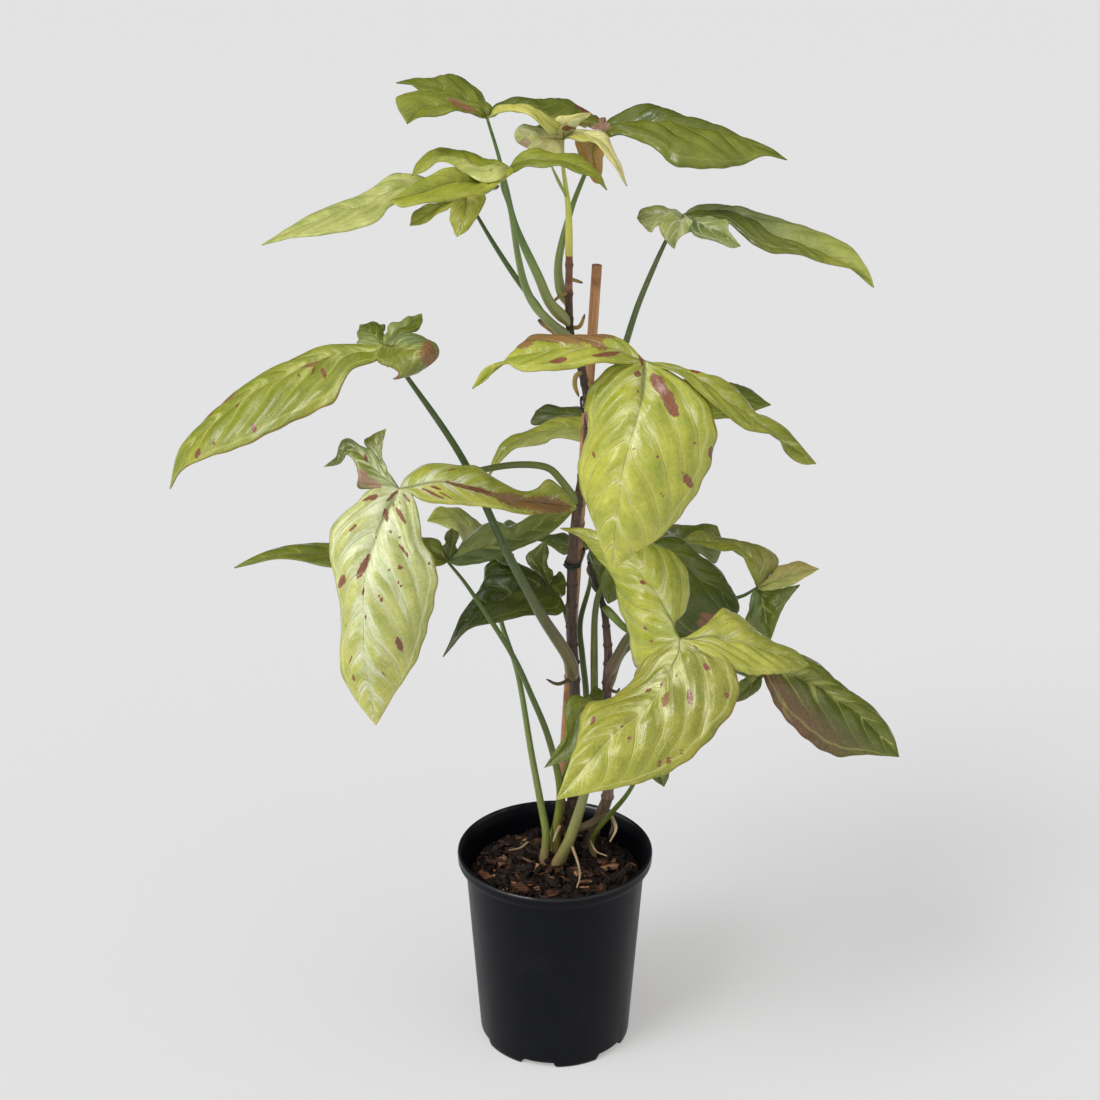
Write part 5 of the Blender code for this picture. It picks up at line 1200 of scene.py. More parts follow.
def stalk_places(name, petiole, junction, steps):
    """A stalk's middle line, from inside its stem or the bark up to just under its blade's junction."""
    path = [seen(point) for point in petiole["path"]]
    end = seen(junction)
    path.append(end - unit(end - path[-1]) * 0.3)
    rise = np.array([0.0, 0.0, 1.0])
    if petiole["stem"] == "soil":
        x, y = ROOTED[name]
        foot = np.array([x, y, SOIL_LEVEL + 3.0])
        return evenly([foot - rise * FOOT_DEPTH, foot, *path], steps)
    if petiole["stem"] == "top":
        return evenly([seen(STEMS["main_stem"]["path"][-1]) - rise * 3.0, *path], steps)
    beside, radius = stem_at_row(petiole["stem"], petiole["row"])
    outward = path[0] - beside
    outward[2] = 0.0
    low = beside - rise * (5.0 + 0.5 * radius)
    return evenly([low, beside + unit(outward) * radius * 0.75, *path], steps)


def add_stalk(name, petiole, junction, material):
    """A leaf stalk, swollen a little above its foot, grooved in front and coloured from foot to blade."""
    places = stalk_places(name, petiole, junction, STALK_STEPS)
    share = np.linspace(0.0, 1.0, STALK_STEPS + 1)
    radius = spread(petiole["radii"], share)
    run = running_length(places)[-1]
    # by how much the stalk swells over its foot, and narrows where it leaves a stem
    sheath = 0.22 * np.exp(-(((share * run - 14.0) / 9.0) ** 2))
    if petiole["stem"] == "top":
        sheath = 0.08 * np.exp(-((share * run / 22.0) ** 2))
    elif petiole["stem"] != "soil":
        sheath = sheath - 0.55 * np.exp(-((share * run / 7.0) ** 2))
    turns = round_turns(STALK_SIDES)[None]
    groove = 1 - 0.10 * np.exp(-(((turns - 1.6) / 0.5) ** 2)) * smooth_step(0.1, 0.4, share)[:, None]
    radii = (radius * (1 + sheath))[:, None] * groove
    body, faces, fields = tube_mesh(places, radii, STALK_SIDES)
    foot, blade = lit(STALK_FOOT.get(name, STALK_LOW)), lit(STALK_BLADE.get(name, STALK_HIGH))
    fields["tone"] = blended(foot, blade, smooth_step(0.0, 0.55, fields["along"])[:, None])
    if petiole["stem"] == "soil":
        low = 0.8 * (1 - smooth_step(12.0 / run, 38.0 / run, fields["along"]))[:, None]
        fields["tone"] = blended(fields["tone"], lit("stained foot"), low)
    add_piece(f"stalk_{name}", "petiole", [f"petiole_{name}"], (body, faces, fields), material)


def stake_line():
    """The stake's foot in the bark, its place at the bark's level and its top."""
    x, y = ROOTED["stake"]
    return np.array([[x, y, SOIL_LEVEL - BED_DEPTH], [x, y, SOIL_LEVEL + 2.0], seen(STAKE_TOP)])


def add_stake(material):
    """The cane: a round rod with a raised ring and a groove above it at each joint, its top cut square."""
    foot, level, top = stake_line()
    share = np.linspace(0.0, 1.0, CANE_ROWS)[:, None]
    places = np.vstack([foot, level + (top - level) * share])
    height = np.concatenate([[0.0], share[:, 0] * np.linalg.norm(top - level)])
    joint = (height / CANE_JOINT + 0.28) % 1.0
    ring = np.exp(-(((joint - 0.5) * CANE_JOINT / 1.6) ** 2))
    ring = ring - 0.5 * np.exp(-(((joint - 0.53) * CANE_JOINT / 1.4) ** 2))
    turns = round_turns(CANE_SIDES)[None]
    oval = 1 + 0.02 * np.sin(2 * turns + height[:, None] / 60)
    radii = (STAKE_RADIUS * (0.97 + 0.16 * ring))[:, None] * oval
    body, faces, fields = tube_mesh(places, radii, CANE_SIDES)
    fields["ring"] = np.append(np.repeat(ring, CANE_SIDES), [0.0, 0.0])
    add_piece("cane", "bamboo", ["bamboo_stake"], (body, faces, fields), material)


def add_tie(number, row, material):
    """A tie: two turns of wire round stem and stake, with its ends twisted together at the front."""
    stem, stem_radius = stem_at_row("main_stem", row)
    _, low, top = stake_line()
    stake = low + (top - low) * ((stem[2] - low[2]) / (top[2] - low[2]))
    facing = math.atan2(stake[1] - stem[1], stake[0] - stem[0])
    loop = []
    for centre, radius, start in ((stake, STAKE_RADIUS, -90.0), (stem, stem_radius, 90.0)):
        turn = facing + np.radians(start + np.linspace(0.0, 180.0, LOOP_STEPS))
        reach = radius + 0.5 + TIE_WIRE
        loop.append(np.stack([centre[0] + reach * np.cos(turn), centre[1] + reach * np.sin(turn)], -1))
    loop = np.vstack([*loop, loop[0][:1]])
    share = np.linspace(0.0, 2 * math.pi, len(loop))
    pieces = []
    for lift in (-0.9, 0.9):
        level = stem[2] + lift + 0.5 * np.sin(share)
        pieces.append(tube_mesh(np.column_stack([loop, level]), np.full(len(loop), TIE_WIRE), WIRE_SIDES))
    front = stem + np.array([-1.0, -(stem_radius + 1.2), 0.0])
    turn = np.linspace(0.0, 5 * math.pi, TWIST_STEPS)
    for flip in (0.0, math.pi):
        x = -turn * 0.28 + 0.7 * np.cos(turn + flip)
        y = -0.9 - 0.7 * np.sin(turn + flip)
        twist = front + np.stack([x, y, turn * 0.12], -1)
        pieces.append(tube_mesh(twist, np.full(TWIST_STEPS, TWIST_WIRE), TWIST_SIDES))
    add_piece(f"wire_{number}", "tie wire", [f"tie_{number}"], joined(pieces), material)


def add_pot(material):
    """The pot, turned from one profile of radius and height: out from the middle of the inner floor, up the
    inside, over the rolled lip, down the outside and back under. Round the drain slots the foot is lifted."""
    inner_base = BASE_RADIUS - POT_WALL - POT_FLOOR_INSET
    under_lip = POT_HEIGHT - LIP_HEIGHT
    corners = (
        (0.0, POT_FLOOR), (inner_base - 1.0, POT_FLOOR), (inner_base, POT_FLOOR + 1.0),
        (NECK_RADIUS - POT_WALL - 0.15, under_lip - 2.0), (NECK_RADIUS - POT_WALL + 0.2, under_lip + 0.8),
        (NECK_RADIUS + 0.6, POT_HEIGHT - 3.4), (RIM_RADIUS - 2.9, POT_HEIGHT - 1.6),
        (RIM_RADIUS - 2.1, POT_HEIGHT - 0.3), (RIM_RADIUS - 1.5, POT_HEIGHT),
        (RIM_RADIUS - 0.7, POT_HEIGHT - 0.25), (RIM_RADIUS - 0.15, POT_HEIGHT - 1.0),
        (RIM_RADIUS, POT_HEIGHT - 2.0), (RIM_RADIUS - 0.35, under_lip + 1.0),
        (RIM_RADIUS - 0.7, under_lip + 0.2), (RIM_RADIUS - 1.3, under_lip),
        (NECK_RADIUS + 0.5, under_lip - 0.2), (NECK_RADIUS, under_lip - 0.8),
        (BASE_RADIUS + 0.15, 6.0), (BASE_RADIUS, FOOT_ROUND + 1.0), (BASE_RADIUS - 0.4, 0.5),
        (BASE_RADIUS - 1.3, 0.0), (BASE_RADIUS - 4.0, 0.0), (BASE_RADIUS - 4.6, POT_UNDERSIDE),
        (0.0, POT_UNDERSIDE),
    )
    profile = []
    for (r0, z0), (r1, z1) in zip(corners, corners[1:]):
        count = max(int(math.hypot(r1 - r0, z1 - z0) / 5.0), 1)
        share = np.linspace(0.0, 1.0, count, endpoint=False)
        profile += list(zip(r0 + (r1 - r0) * share, z0 + (z1 - z0) * share))
    profile = np.array([*profile, corners[-1]])
    turns = round_turns(POT_SIDES)
    first = math.radians(-90.0 + FIRST_SLOT_TURN)
    pitch = 2 * math.pi / DRAIN_SLOTS
    nearest = abs((turns - first + pitch / 2) % pitch - pitch / 2) * BASE_RADIUS
    open_here = 1 - smooth_step(DRAIN_WIDTH / 2 - 1.8, DRAIN_WIDTH / 2 + 0.2, nearest)
    radius = np.repeat(profile[1:-1, 0, None], POT_SIDES, 1)
    height = np.repeat(profile[1:-1, 1, None], POT_SIDES, 1)
    outside = radius > BASE_RADIUS - 4.3
    foot = outside & (height < DRAIN_HEIGHT) & (np.arange(len(height))[:, None] > len(height) // 2)
    height = np.where(foot, np.maximum(height, DRAIN_HEIGHT * open_here[None]), height)
    body = np.stack([radius * np.cos(turns), radius * np.sin(turns), height], -1).reshape(-1, 3)
    faces = [face[::-1] for face in closed_rings(len(radius), POT_SIDES)]
    body = np.vstack([body, [0.0, 0.0, POT_FLOOR], [0.0, 0.0, POT_UNDERSIDE]])
    add_piece("nursery_pot", "pot plastic", ["pot"], (body, faces, {}), material)


def bark_level(x, y):
    """The height of the potting bark at a place: low even swells."""
    ripple = np.sin(0.21 * x + 0.9) * np.cos(0.17 * y - 0.4) + 0.5 * np.sin(0.47 * x - 0.38 * y)
    return SOIL_LEVEL + BARK_LIFT + SOIL_SWELL * ripple


def add_bed(material):
    """The bark's bed: a disc of rings with small bumps, its edge turned down against the pot's wall."""
    turns = round_turns(BED_SIDES)[None]
    share = np.linspace(0.02, 1.0, BED_RINGS)[:, None]
    x = SOIL_RADIUS * share * np.cos(turns)
    y = SOIL_RADIUS * share * np.sin(turns)
    bumps = 0.5 * np.sin(0.9 * x + 1.3 * y) * np.sin(1.1 * y - 0.7 * x)
    bumps = bumps + 0.4 * np.sin(1.9 * x) * np.cos(2.1 * y)
    z = bark_level(x, y) - BED_SUNK + bumps
    top = np.stack([x, y, z], -1)
    skirt = top[-1:] * [0.985, 0.985, 1.0] - [0.0, 0.0, 9.0 + BARK_LIFT]
    body = np.vstack([top.reshape(-1, 3), skirt.reshape(-1, 3)])
    faces = [face[::-1] for face in closed_rings(BED_RINGS + 1, BED_SIDES)]
    middles = [[0.0, 0.0, float(bark_level(0.0, 0.0)) - BED_SUNK], [0.0, 0.0, SOIL_LEVEL - BED_DEPTH]]
    add_piece("bark_bed", "potting bark", ["soil"], (np.vstack([body, middles]), faces, {}), material)


def scattered(rng, count, reach):
    """Places spread evenly over the bed by chance."""
    turn = rng.uniform(0.0, 2 * math.pi, count)
    radius = reach * np.sqrt(rng.uniform(0.0, 1.0, count))
    return radius * np.cos(turn), radius * np.sin(turn)


def add_chips(name, count, length, seed, material):
    """Bark chips: slabs of CHIP_CORNERS uneven corners, each turned and tilted by chance and laid on the bed.
    A slab has three rings of corners: its underside, its widest outline and its top."""
    rng = np.random.default_rng(seed)
    x, y = scattered(rng, count, SOIL_RADIUS - 0.45 * length)
    long = length * (0.3 + 0.7 * rng.uniform(0.0, 1.0, count) ** 3)
    wide = long * rng.uniform(0.22, 0.6, count)
    thick = long * rng.uniform(0.10, 0.26, count)
    turns = round_turns(CHIP_CORNERS)
    ragged = rng.uniform(0.55, 1.15, (count, CHIP_CORNERS)) / 2
    outline = np.stack([np.cos(turns) * ragged * long[:, None], np.sin(turns) * ragged * wide[:, None]], -1)
    inset = rng.uniform(0.72, 0.95, (count, 1, 1))
    lift = rng.uniform(-0.12, 0.12, (count, CHIP_CORNERS)) * thick[:, None]
    lower = np.dstack([outline * 0.9, lift - thick[:, None] / 2])
    upper = np.dstack([outline * inset, lift + thick[:, None] / 2])
    middle = np.dstack([outline * 1.04, lift + 0.05 * thick[:, None]])
    chips = np.concatenate([lower, middle, upper], 1)
    spin = rng.uniform(0, 2 * math.pi, count)
    tilt = rng.normal(0, 0.5, count)
    lean = rng.normal(0, 0.42, count)
    cos, sin = np.cos, np.sin
    zero, one = np.zeros(count), np.ones(count)
    tip = np.array([[one, zero, zero], [zero, cos(tilt), -sin(tilt)], [zero, sin(tilt), cos(tilt)]])
    roll = np.array([[cos(lean), zero, sin(lean)], [zero, one, zero], [-sin(lean), zero, cos(lean)]])
    yaw = np.array([[cos(spin), -sin(spin), zero], [sin(spin), cos(spin), zero], [zero, zero, one]])
    turned = np.einsum("abn,bcn,cdn,nvd->nva", yaw, tip, roll, chips)
    height = bark_level(x, y) - 1.0 + rng.uniform(0.0, 1.0, count) * 3.0 + thick * 0.3
    body = (turned + np.stack([x, y, height], -1)[:, None]).reshape(-1, 3)
    ring = np.arange(CHIP_CORNERS)
    first = np.arange(count)[:, None] * 3 * CHIP_CORNERS
    faces = (first[..., None] + ring_faces(3, CHIP_CORNERS)).reshape(-1, 4).tolist()
    faces += (first + ring[::-1]).tolist()
    faces += (first + 2 * CHIP_CORNERS + ring).tolist()
    picked = np.array([lit(tone) for tone in BARK_TONES])[rng.integers(0, len(BARK_TONES), count)]
    picked = picked * rng.uniform(0.5, 1.4, (count, 1))
    fields = {"tone": np.repeat(picked, 3 * CHIP_CORNERS, 0)}
    add_piece(name, "potting bark", [], (body, faces, fields), material, smooth=False)


def group(name, takes, gives):
    """An empty shader node group. takes names its inputs with their values, and gives its outputs' kinds."""
    tree = bpy.data.node_groups.new(name, "ShaderNodeTree")
    for title, value in takes.items():
        kind = "NodeSocketColor" if isinstance(value, tuple) else "NodeSocketFloat"
        socket = tree.interface.new_socket(name=title, in_out="INPUT", socket_type=kind)
        socket.default_value = (*value, 1.0) if isinstance(value, tuple) else value
    for title, kind in gives.items():
        tree.interface.new_socket(name=title, in_out="OUTPUT", socket_type=kind)
    return tree, tree.nodes.new("NodeGroupInput").outputs, tree.nodes.new("NodeGroupOutput").inputs


class Bench:
    """Puts nodes in one tree: a socket given as a value is linked, and a number or colour is set."""

    def __init__(self, tree):
        self.tree = tree

    def put(self, kind, values=None, **settings):
        node = self.tree.nodes.new(kind)
        for title, value in settings.items():
            setattr(node, title, value)
        for title, value in (values or {}).items():
            self.feed(node.inputs[title], value)
        return node

    def feed(self, socket, value):
        if isinstance(value, bpy.types.NodeSocket):
            self.tree.links.new(value, socket)
        elif isinstance(value, tuple) and len(value) == 3 and socket.type == "RGBA":
            socket.default_value = (*value, 1.0)
        else:
            socket.default_value = value

    def field(self, name, colour=False):
        node = self.put("ShaderNodeAttribute", attribute_name=name)
        return node.outputs["Color" if colour else "Fac"]

    def place(self):
        return self.put("ShaderNodeTexCoord").outputs["Object"]

    def reckon(self, kind, a, b=0.0, c=0.0):
        node = self.put("ShaderNodeMath", operation=kind)
        for socket, value in zip(node.inputs, (a, b, c)):
            self.feed(socket, value)
        return node.outputs[0]

    def times(self, a, b):
        return self.reckon("MULTIPLY", a, b)

    def plus(self, a, b):
        return self.reckon("ADD", a, b)

    def less(self, a, b):
        return self.reckon("SUBTRACT", a, b)

    def most(self, a, b):
        return self.reckon("MAXIMUM", a, b)

    def size(self, a):
        return self.reckon("ABSOLUTE", a)

    def scaled(self, a, b, c):
        """a * b + c."""
        return self.reckon("MULTIPLY_ADD", a, b, c)

    def step(self, value, low, high, start=0.0, end=1.0):
        """A smooth S from start to end as the value goes from low to high."""
        node = self.put("ShaderNodeMapRange", interpolation_type="SMOOTHSTEP")
        titles = ("Value", "From Min", "From Max", "To Min", "To Max")
        for title, given in zip(titles, (value, low, high, start, end)):
            self.feed(node.inputs[title], given)
        return node.outputs["Result"]

    def mix(self, share, a, b, blend="MIX"):
        node = self.put("ShaderNodeMix", data_type="RGBA", blend_type=blend)
        for number, value in ((0, share), (6, a), (7, b)):
            self.feed(node.inputs[number], value)
        return node.outputs[2]

    def tint(self, colour, shares):
        """A colour with its red, green and blue each multiplied."""
        return self.mix(1.0, colour, shares, "MULTIPLY")

    def shaded(self, colour, share):
        return self.tint(colour, self.join(share, share, share))

    def noise(self, vector, scale, detail=3.0, rough=0.5):
        values = {"Vector": vector, "Scale": scale, "Detail": detail, "Roughness": rough}
        return self.put("ShaderNodeTexNoise", values).outputs[0]

    def lines(self, tree, round_it, along_it, detail, rough=0.5):
        values = {"Round": round_it, "Along": along_it, "Detail": detail, "Roughness": rough}
        return self.put("ShaderNodeGroup", values, node_tree=tree).outputs["Lines"]

    def join(self, x, y, z):
        return self.put("ShaderNodeCombineXYZ", {"X": x, "Y": y, "Z": z}).outputs[0]


def lines_pattern():
    """Fine lines along a tube: noise of so many cells round it and so many to a millimetre along it."""
    takes = {"Round": 20.0, "Along": 0.1, "Detail": 3.0, "Roughness": 0.5}
    tree, takes, gives = group("lines along a tube", takes, {"Lines": "NodeSocketFloat"})
    n = Bench(tree)
    round_it, along_it = n.times(n.field("around"), takes["Round"]), n.times(n.field("reach"), takes["Along"])
    cells = n.noise(n.join(round_it, along_it, 0.0), 1.0, takes["Detail"], takes["Roughness"])
    n.feed(gives["Lines"], cells)
    return tree


def leaf_pattern():
    """The colouring of a blade. Pale bands lie along the midrib, the side veins and the vein inside the
    margin, pale sectors stream between them, flecks are scattered cells drawn out along the side veins, and
    the blotches have ragged edges from noise."""
    marks = {"Salmon": lit("salmon blotch"), "Umber": lit("umber mark"), "Brown": lit("brown patch")}
    outputs = {"Colour": "NodeSocketColor", "Roughness": "NodeSocketFloat", "Height": "NodeSocketFloat"}
    tree, takes, gives = group("leaf pattern", {**marks, "Vein Share": 1.0, "Mark Share": 1.0}, outputs)
    n = Bench(tree)
    place = n.place()
    across, along, off_rib = n.field("across"), n.field("along"), n.field("off_rib")
    cream, lobe, pale_tone = n.field("cream"), n.field("lobe"), n.field("pale", colour=True)
    broad = n.noise(place, 45.0, 5.0, 0.6)
    grainy = n.noise(place, 520.0, 3.0, 0.65)
    drift = n.noise(place, 26.0, 2.0)
    straight = n.field("phase")
    phase = n.plus(straight, n.times(n.less(drift, 0.5), 0.35))
    stream_place = n.join(n.times(phase, 2.6), n.times(off_rib, 0.055), n.times(lobe, 4.7))
    streams = n.noise(stream_place, 1.0, 5.0, 0.62)
    fine_place = n.join(n.times(phase, 6.0), n.times(off_rib, 0.10), n.times(lobe, 2.3))
    fine_streams = n.noise(fine_place, 1.0, 4.0, 0.55)
    # distance from the nearest side vein, in vein spacings
    apart = n.size(n.less(n.reckon("FRACT", phase), 0.5))
    width = n.scaled(n.less(1.0, across), 0.045, 0.026)
    inside = n.step(across, 0.78, 0.92, 1.0, 0.0)
    lateral = n.times(n.step(apart, n.times(width, 0.2), width, 1.0, 0.0), inside)
    between = n.size(n.less(n.reckon("FRACT", n.times(phase, 3.0)), 0.5))
    minor = n.times(n.step(between, 0.02, 0.10, 0.22, 0.0), inside)
    rib_width = n.step(along, 0.0, 1.0, 1.2, 0.4)
    rib = n.step(off_rib, n.times(rib_width, 0.3), rib_width, 1.0, 0.0)
    ring = n.size(n.less(across, n.scaled(drift, 0.14, 0.78)))
    ring = n.step(ring, 0.004, 0.035, 0.8, 0.0)
    cells = n.put("ShaderNodeTexVoronoi", {"Vector": place, "Scale": 260.0}, feature="DISTANCE_TO_EDGE")
    net = n.step(cells.outputs["Distance"], 0.0, 0.12, 1.0, 0.0)
    lines = n.most(n.most(rib, lateral), n.most(minor, ring))
    # the blade's own colour, deeper and greener between the veins and streaked along them
    tone = n.field("tone", colour=True)
    depth = n.times(n.step(broad, 0.34, 0.62), n.step(apart, 0.04, 0.30, 0.35, 1.0))
    depth = n.times(depth, n.step(fine_streams, 0.35, 0.65, 0.55, 1.0))
    colour = n.mix(n.times(depth, 0.9), tone, n.tint(tone, (0.50, 0.60, 0.30)))
    light = n.times(n.step(fine_streams, 0.48, 0.68), n.step(broad, 0.30, 0.60, 0.7, 0.25))
    colour = n.mix(light, colour, n.tint(tone, (1.22, 1.18, 1.25)))
    # pale sectors stream along the veins, thickest by the midrib and the junction
    halo = n.step(apart, 0.0, 0.24, 0.20, 0.0)
    middle = n.times(n.step(off_rib, 0.0, 14.0, 1.0, 0.0), 0.16)
    amount = n.plus(n.plus(streams, halo), n.plus(middle, n.times(across, -0.22)))
    amount = n.plus(amount, n.scaled(along, -0.36, 0.16))
    amount = n.plus(amount, n.scaled(cream, 0.40, -0.32))
    amount = n.plus(amount, n.times(n.less(fine_streams, 0.5), 0.5))
    pale = n.times(n.step(amount, 0.44, 0.78), n.step(cream, 0.0, 0.6, 0.15, 0.95))
    pale_shade = n.mix(n.step(fine_streams, 0.4, 0.62), n.tint(pale_tone, (0.84, 0.88, 0.70)), pale_tone)
    colour = n.mix(pale, colour, pale_shade)
    strength = n.times(n.scaled(cream, 0.62, 0.10), takes["Vein Share"])
    shown_lines = n.most(lines, n.times(net, 0.20))
    colour = n.mix(n.times(shown_lines, strength), colour, n.tint(pale_tone, (1.04, 1.02, 0.90)))
    # painted shade: the colour is darkened in the crease along the midrib near the junction, where shade
    # falls in the fold
    crease_shade = n.times(n.step(off_rib, 0.2, 0.75, 0.75, 0.0), n.step(along, 0.10, 0.45, 1.0, 0.0))
    colour = n.mix(crease_shade, colour, n.tint(tone, (0.22, 0.24, 0.16)))
    specks = n.step(grainy, 0.35, 0.65, 0.93, 1.06)
    colour = n.shaded(colour, specks)
    # flecks: cells drawn out along the side veins, of which a share by chance hold a fleck
    ragged = n.times(n.less(n.noise(place, 420.0, 4.0, 0.7), 0.5), 1.5)
    drawn_out = n.scaled(straight, 3.4, n.times(ragged, 0.12))
    cell_place = n.join(drawn_out, n.times(off_rib, 0.085), n.times(lobe, 7.3))
    scatter = n.put("ShaderNodeTexVoronoi", {"Vector": cell_place, "Scale": 1.0})
    chance = n.plus(scatter.outputs["Color"], n.less(n.field("flecks"), 1.0))
    reach = n.less(n.times(chance, 0.45), scatter.outputs["Distance"])
    fleck = n.step(n.plus(reach, n.times(ragged, 0.1)), 0.0, 0.02)
    salmon = n.step(n.plus(n.field("salmon"), n.times(ragged, 0.5)), -0.05, 0.3)
    umber = n.step(n.plus(n.field("umber"), ragged), -0.05, 0.22)
    brown = n.step(n.plus(n.field("brown"), n.times(ragged, 1.2)), -0.1, 0.30)
    rim = n.times(n.step(n.plus(across, n.times(ragged, 0.03)), 0.955, 0.985), n.field("rim"))
    worn = n.mix(n.step(grainy, 0.3, 0.75, 0.0, 0.22), takes["Umber"], takes["Salmon"])
    marks = n.most(n.most(fleck, umber), rim)
    share = n.times(takes["Mark Share"], n.scaled(lines, -0.12, 0.94))
    salmon_tone = n.mix(n.step(broad, 0.4, 0.6, 0.0, 0.3), takes["Salmon"], tone)
    brown_tone = n.mix(n.step(streams, 0.4, 0.65, 0.0, 0.5), takes["Brown"], worn)
    colour = n.mix(n.times(salmon, share), colour, salmon_tone)
    colour = n.mix(n.times(brown, n.times(share, 0.9)), colour, brown_tone)
    colour = n.mix(n.times(marks, share), colour, worn)
    n.feed(gives["Colour"], colour)
    n.feed(gives["Roughness"], n.scaled(grainy, 0.12, 0.19))
    sunk = n.scaled(n.most(rib, lateral), -0.4, n.scaled(minor, -0.18, n.times(net, -0.04)))
    rough = n.scaled(grainy, 0.03, n.times(fine_streams, 0.28))
    n.feed(gives["Height"], n.plus(sunk, rough))
    return tree


def new_material(name):
    """A material with a Principled shader, and the bench for its nodes."""
    made = bpy.data.materials.new(name)
    made.use_nodes = True
    return made, Bench(made.node_tree)


def finished(made, n, values, relief=None, depth=0.0):
    """The material, with values fed into its shader and a relief, depth metres deep, into its normal."""
    if relief is not None:
        bump = {"Height": relief, "Strength": 1.0, "Distance": depth}
        values["Normal"] = n.put("ShaderNodeBump", bump).outputs[0]
    for title, value in values.items():
        n.feed(made.node_tree.nodes["Principled BSDF"].inputs[title], value)
    return made


def leaf_material(name, tree, marked, thin, dull, gloss):
    """A blade's upper face or underside. marked is how strongly its veins and marks show, thin the share of
    the underside's own colour, dull the roughness added to it and gloss its shine."""
    made, n = new_material(name)
    shares = {"Vein Share": marked, "Mark Share": marked}
    pattern = n.put("ShaderNodeGroup", shares, node_tree=tree).outputs
    colour, rough = pattern["Colour"], pattern["Roughness"]
    if thin:
        colour = n.mix(thin, colour, lit("underside"))
        rough = n.plus(rough, dull)
    values = {
        "Base Color": colour, "Roughness": rough, "Specular IOR Level": gloss, "Subsurface Weight": 0.15,
        "Subsurface Radius": (0.6, 1.0, 0.25), "Subsurface Scale": 0.001,
    }
    return finished(made, n, values, pattern["Height"], 0.001)


def stalk_material(tree):
    """A leaf stalk: its colour from foot to blade, with fine lines along it and faint dots."""
    made, n = new_material("stalk skin")
    lines = n.lines(tree, 26.0, 0.035, 3.0)
    dots = n.noise(n.place(), 900.0, 2.0)
    broad = n.noise(n.place(), 40.0, 3.0)
    shade = n.times(n.step(lines, 0.25, 0.75, 0.86, 1.14), n.step(broad, 0.3, 0.7, 0.88, 1.1))
    colour = n.shaded(n.field("tone", colour=True), shade)
    values = {
        "Base Color": n.mix(n.step(dots, 0.62, 0.70, 0.0, 0.3), colour, lit("stalk dots")),
        "Roughness": n.step(broad, 0.2, 0.8, 0.28, 0.42), "Subsurface Weight": 0.12,
        "Subsurface Scale": 0.001,
    }
    return finished(made, n, values, n.plus(lines, n.times(dots, 0.4)), 0.0002)


def stem_material(tree):
    """Stem bark: dark brown with darker ring scars, corky lines along it and small pale pores."""
    made, n = new_material("climbing stem bark")
    lines = n.lines(tree, 18.0, 0.09, 4.0, 0.6)
    broad = n.noise(n.place(), 60.0, 4.0, 0.6)
    pores = n.noise(n.place(), 700.0, 2.0)
    tone = n.field("tone", colour=True)
    colour = n.mix(n.step(lines, 0.3, 0.7), n.tint(tone, (0.55, 0.52, 0.50)), n.tint(tone, (1.3, 1.3, 1.3)))
    colour = n.mix(n.step(broad, 0.5, 0.72, 0.0, 0.35), colour, lit("weathered bark"))
    colour = n.mix(n.times(n.field("scar"), 0.6), colour, n.tint(tone, (0.42, 0.38, 0.36)))
    colour = n.mix(n.step(pores, 0.64, 0.7, 0.0, 0.4), colour, lit("bark pores"))
    values = {"Base Color": colour, "Roughness": n.step(broad, 0.2, 0.8, 0.38, 0.62)}
    return finished(made, n, values, n.plus(lines, n.times(pores, 0.6)), 0.0005)


def bamboo_material(tree):
    """The cane: warm tan with fine fibres along it, dark grime in the joints and weathered patches."""
    made, n = new_material("bamboo cane")
    fibres = n.lines(tree, 60.0, 0.02, 4.0, 0.6)
    broad = n.noise(n.place(), 30.0, 4.0, 0.6)
    colour = n.mix(n.step(fibres, 0.3, 0.7), lit("cane shadow"), lit("cane light"))
    colour = n.mix(n.step(broad, 0.50, 0.66, 0.0, 0.7), colour, lit("cane patch"))
    colour = n.mix(n.step(n.size(n.field("ring")), 0.1, 0.8, 0.0, 0.6), colour, lit("cane joint"))
    values = {"Base Color": colour, "Roughness": n.step(broad, 0.2, 0.8, 0.42, 0.62)}
    return finished(made, n, values, fibres, 0.0003)


def wire_material():
    """Plastic-coated tie wire: dark green, faintly scuffed."""
    made, n = new_material("tie wire coat")
    scuffs = n.noise(n.place(), 600.0, 3.0)
    colour = n.mix(scuffs, lit("wire dark"), lit("wire scuffed"))
    values = {"Base Color": colour, "Roughness": n.step(scuffs, 0.2, 0.8, 0.3, 0.5)}
    return finished(made, n, values, scuffs, 0.0001)


def bark_material(name, dull):
    """Potting bark: each chip's own brown, or the dull bed's, with fibrous streaks and a little dust."""
    made, n = new_material(name)
    grain = {"Vector": n.place(), "Scale": (1.0, 3.2, 5.0), "Rotation": (0.4, 0.2, 0.9)}
    streaks = n.noise(n.put("ShaderNodeMapping", grain).outputs[0], 260.0, 5.0, 0.65)
    dust = n.noise(n.place(), 900.0, 4.0, 0.7)
    base = lit("bed") if dull else n.field("tone", colour=True)
    colour = n.shaded(base, n.step(streaks, 0.35, 0.65, 0.35, 1.6))
    values = {
        "Base Color": n.mix(n.step(dust, 0.62, 0.74, 0.0, 0.35), colour, lit("bark dust")),
        "Roughness": n.step(streaks, 0.3, 0.7, 0.30, 0.75), "Specular IOR Level": 0.3,
    }
    return finished(made, n, values, n.plus(streaks, n.times(dust, 0.5)), 0.0008)


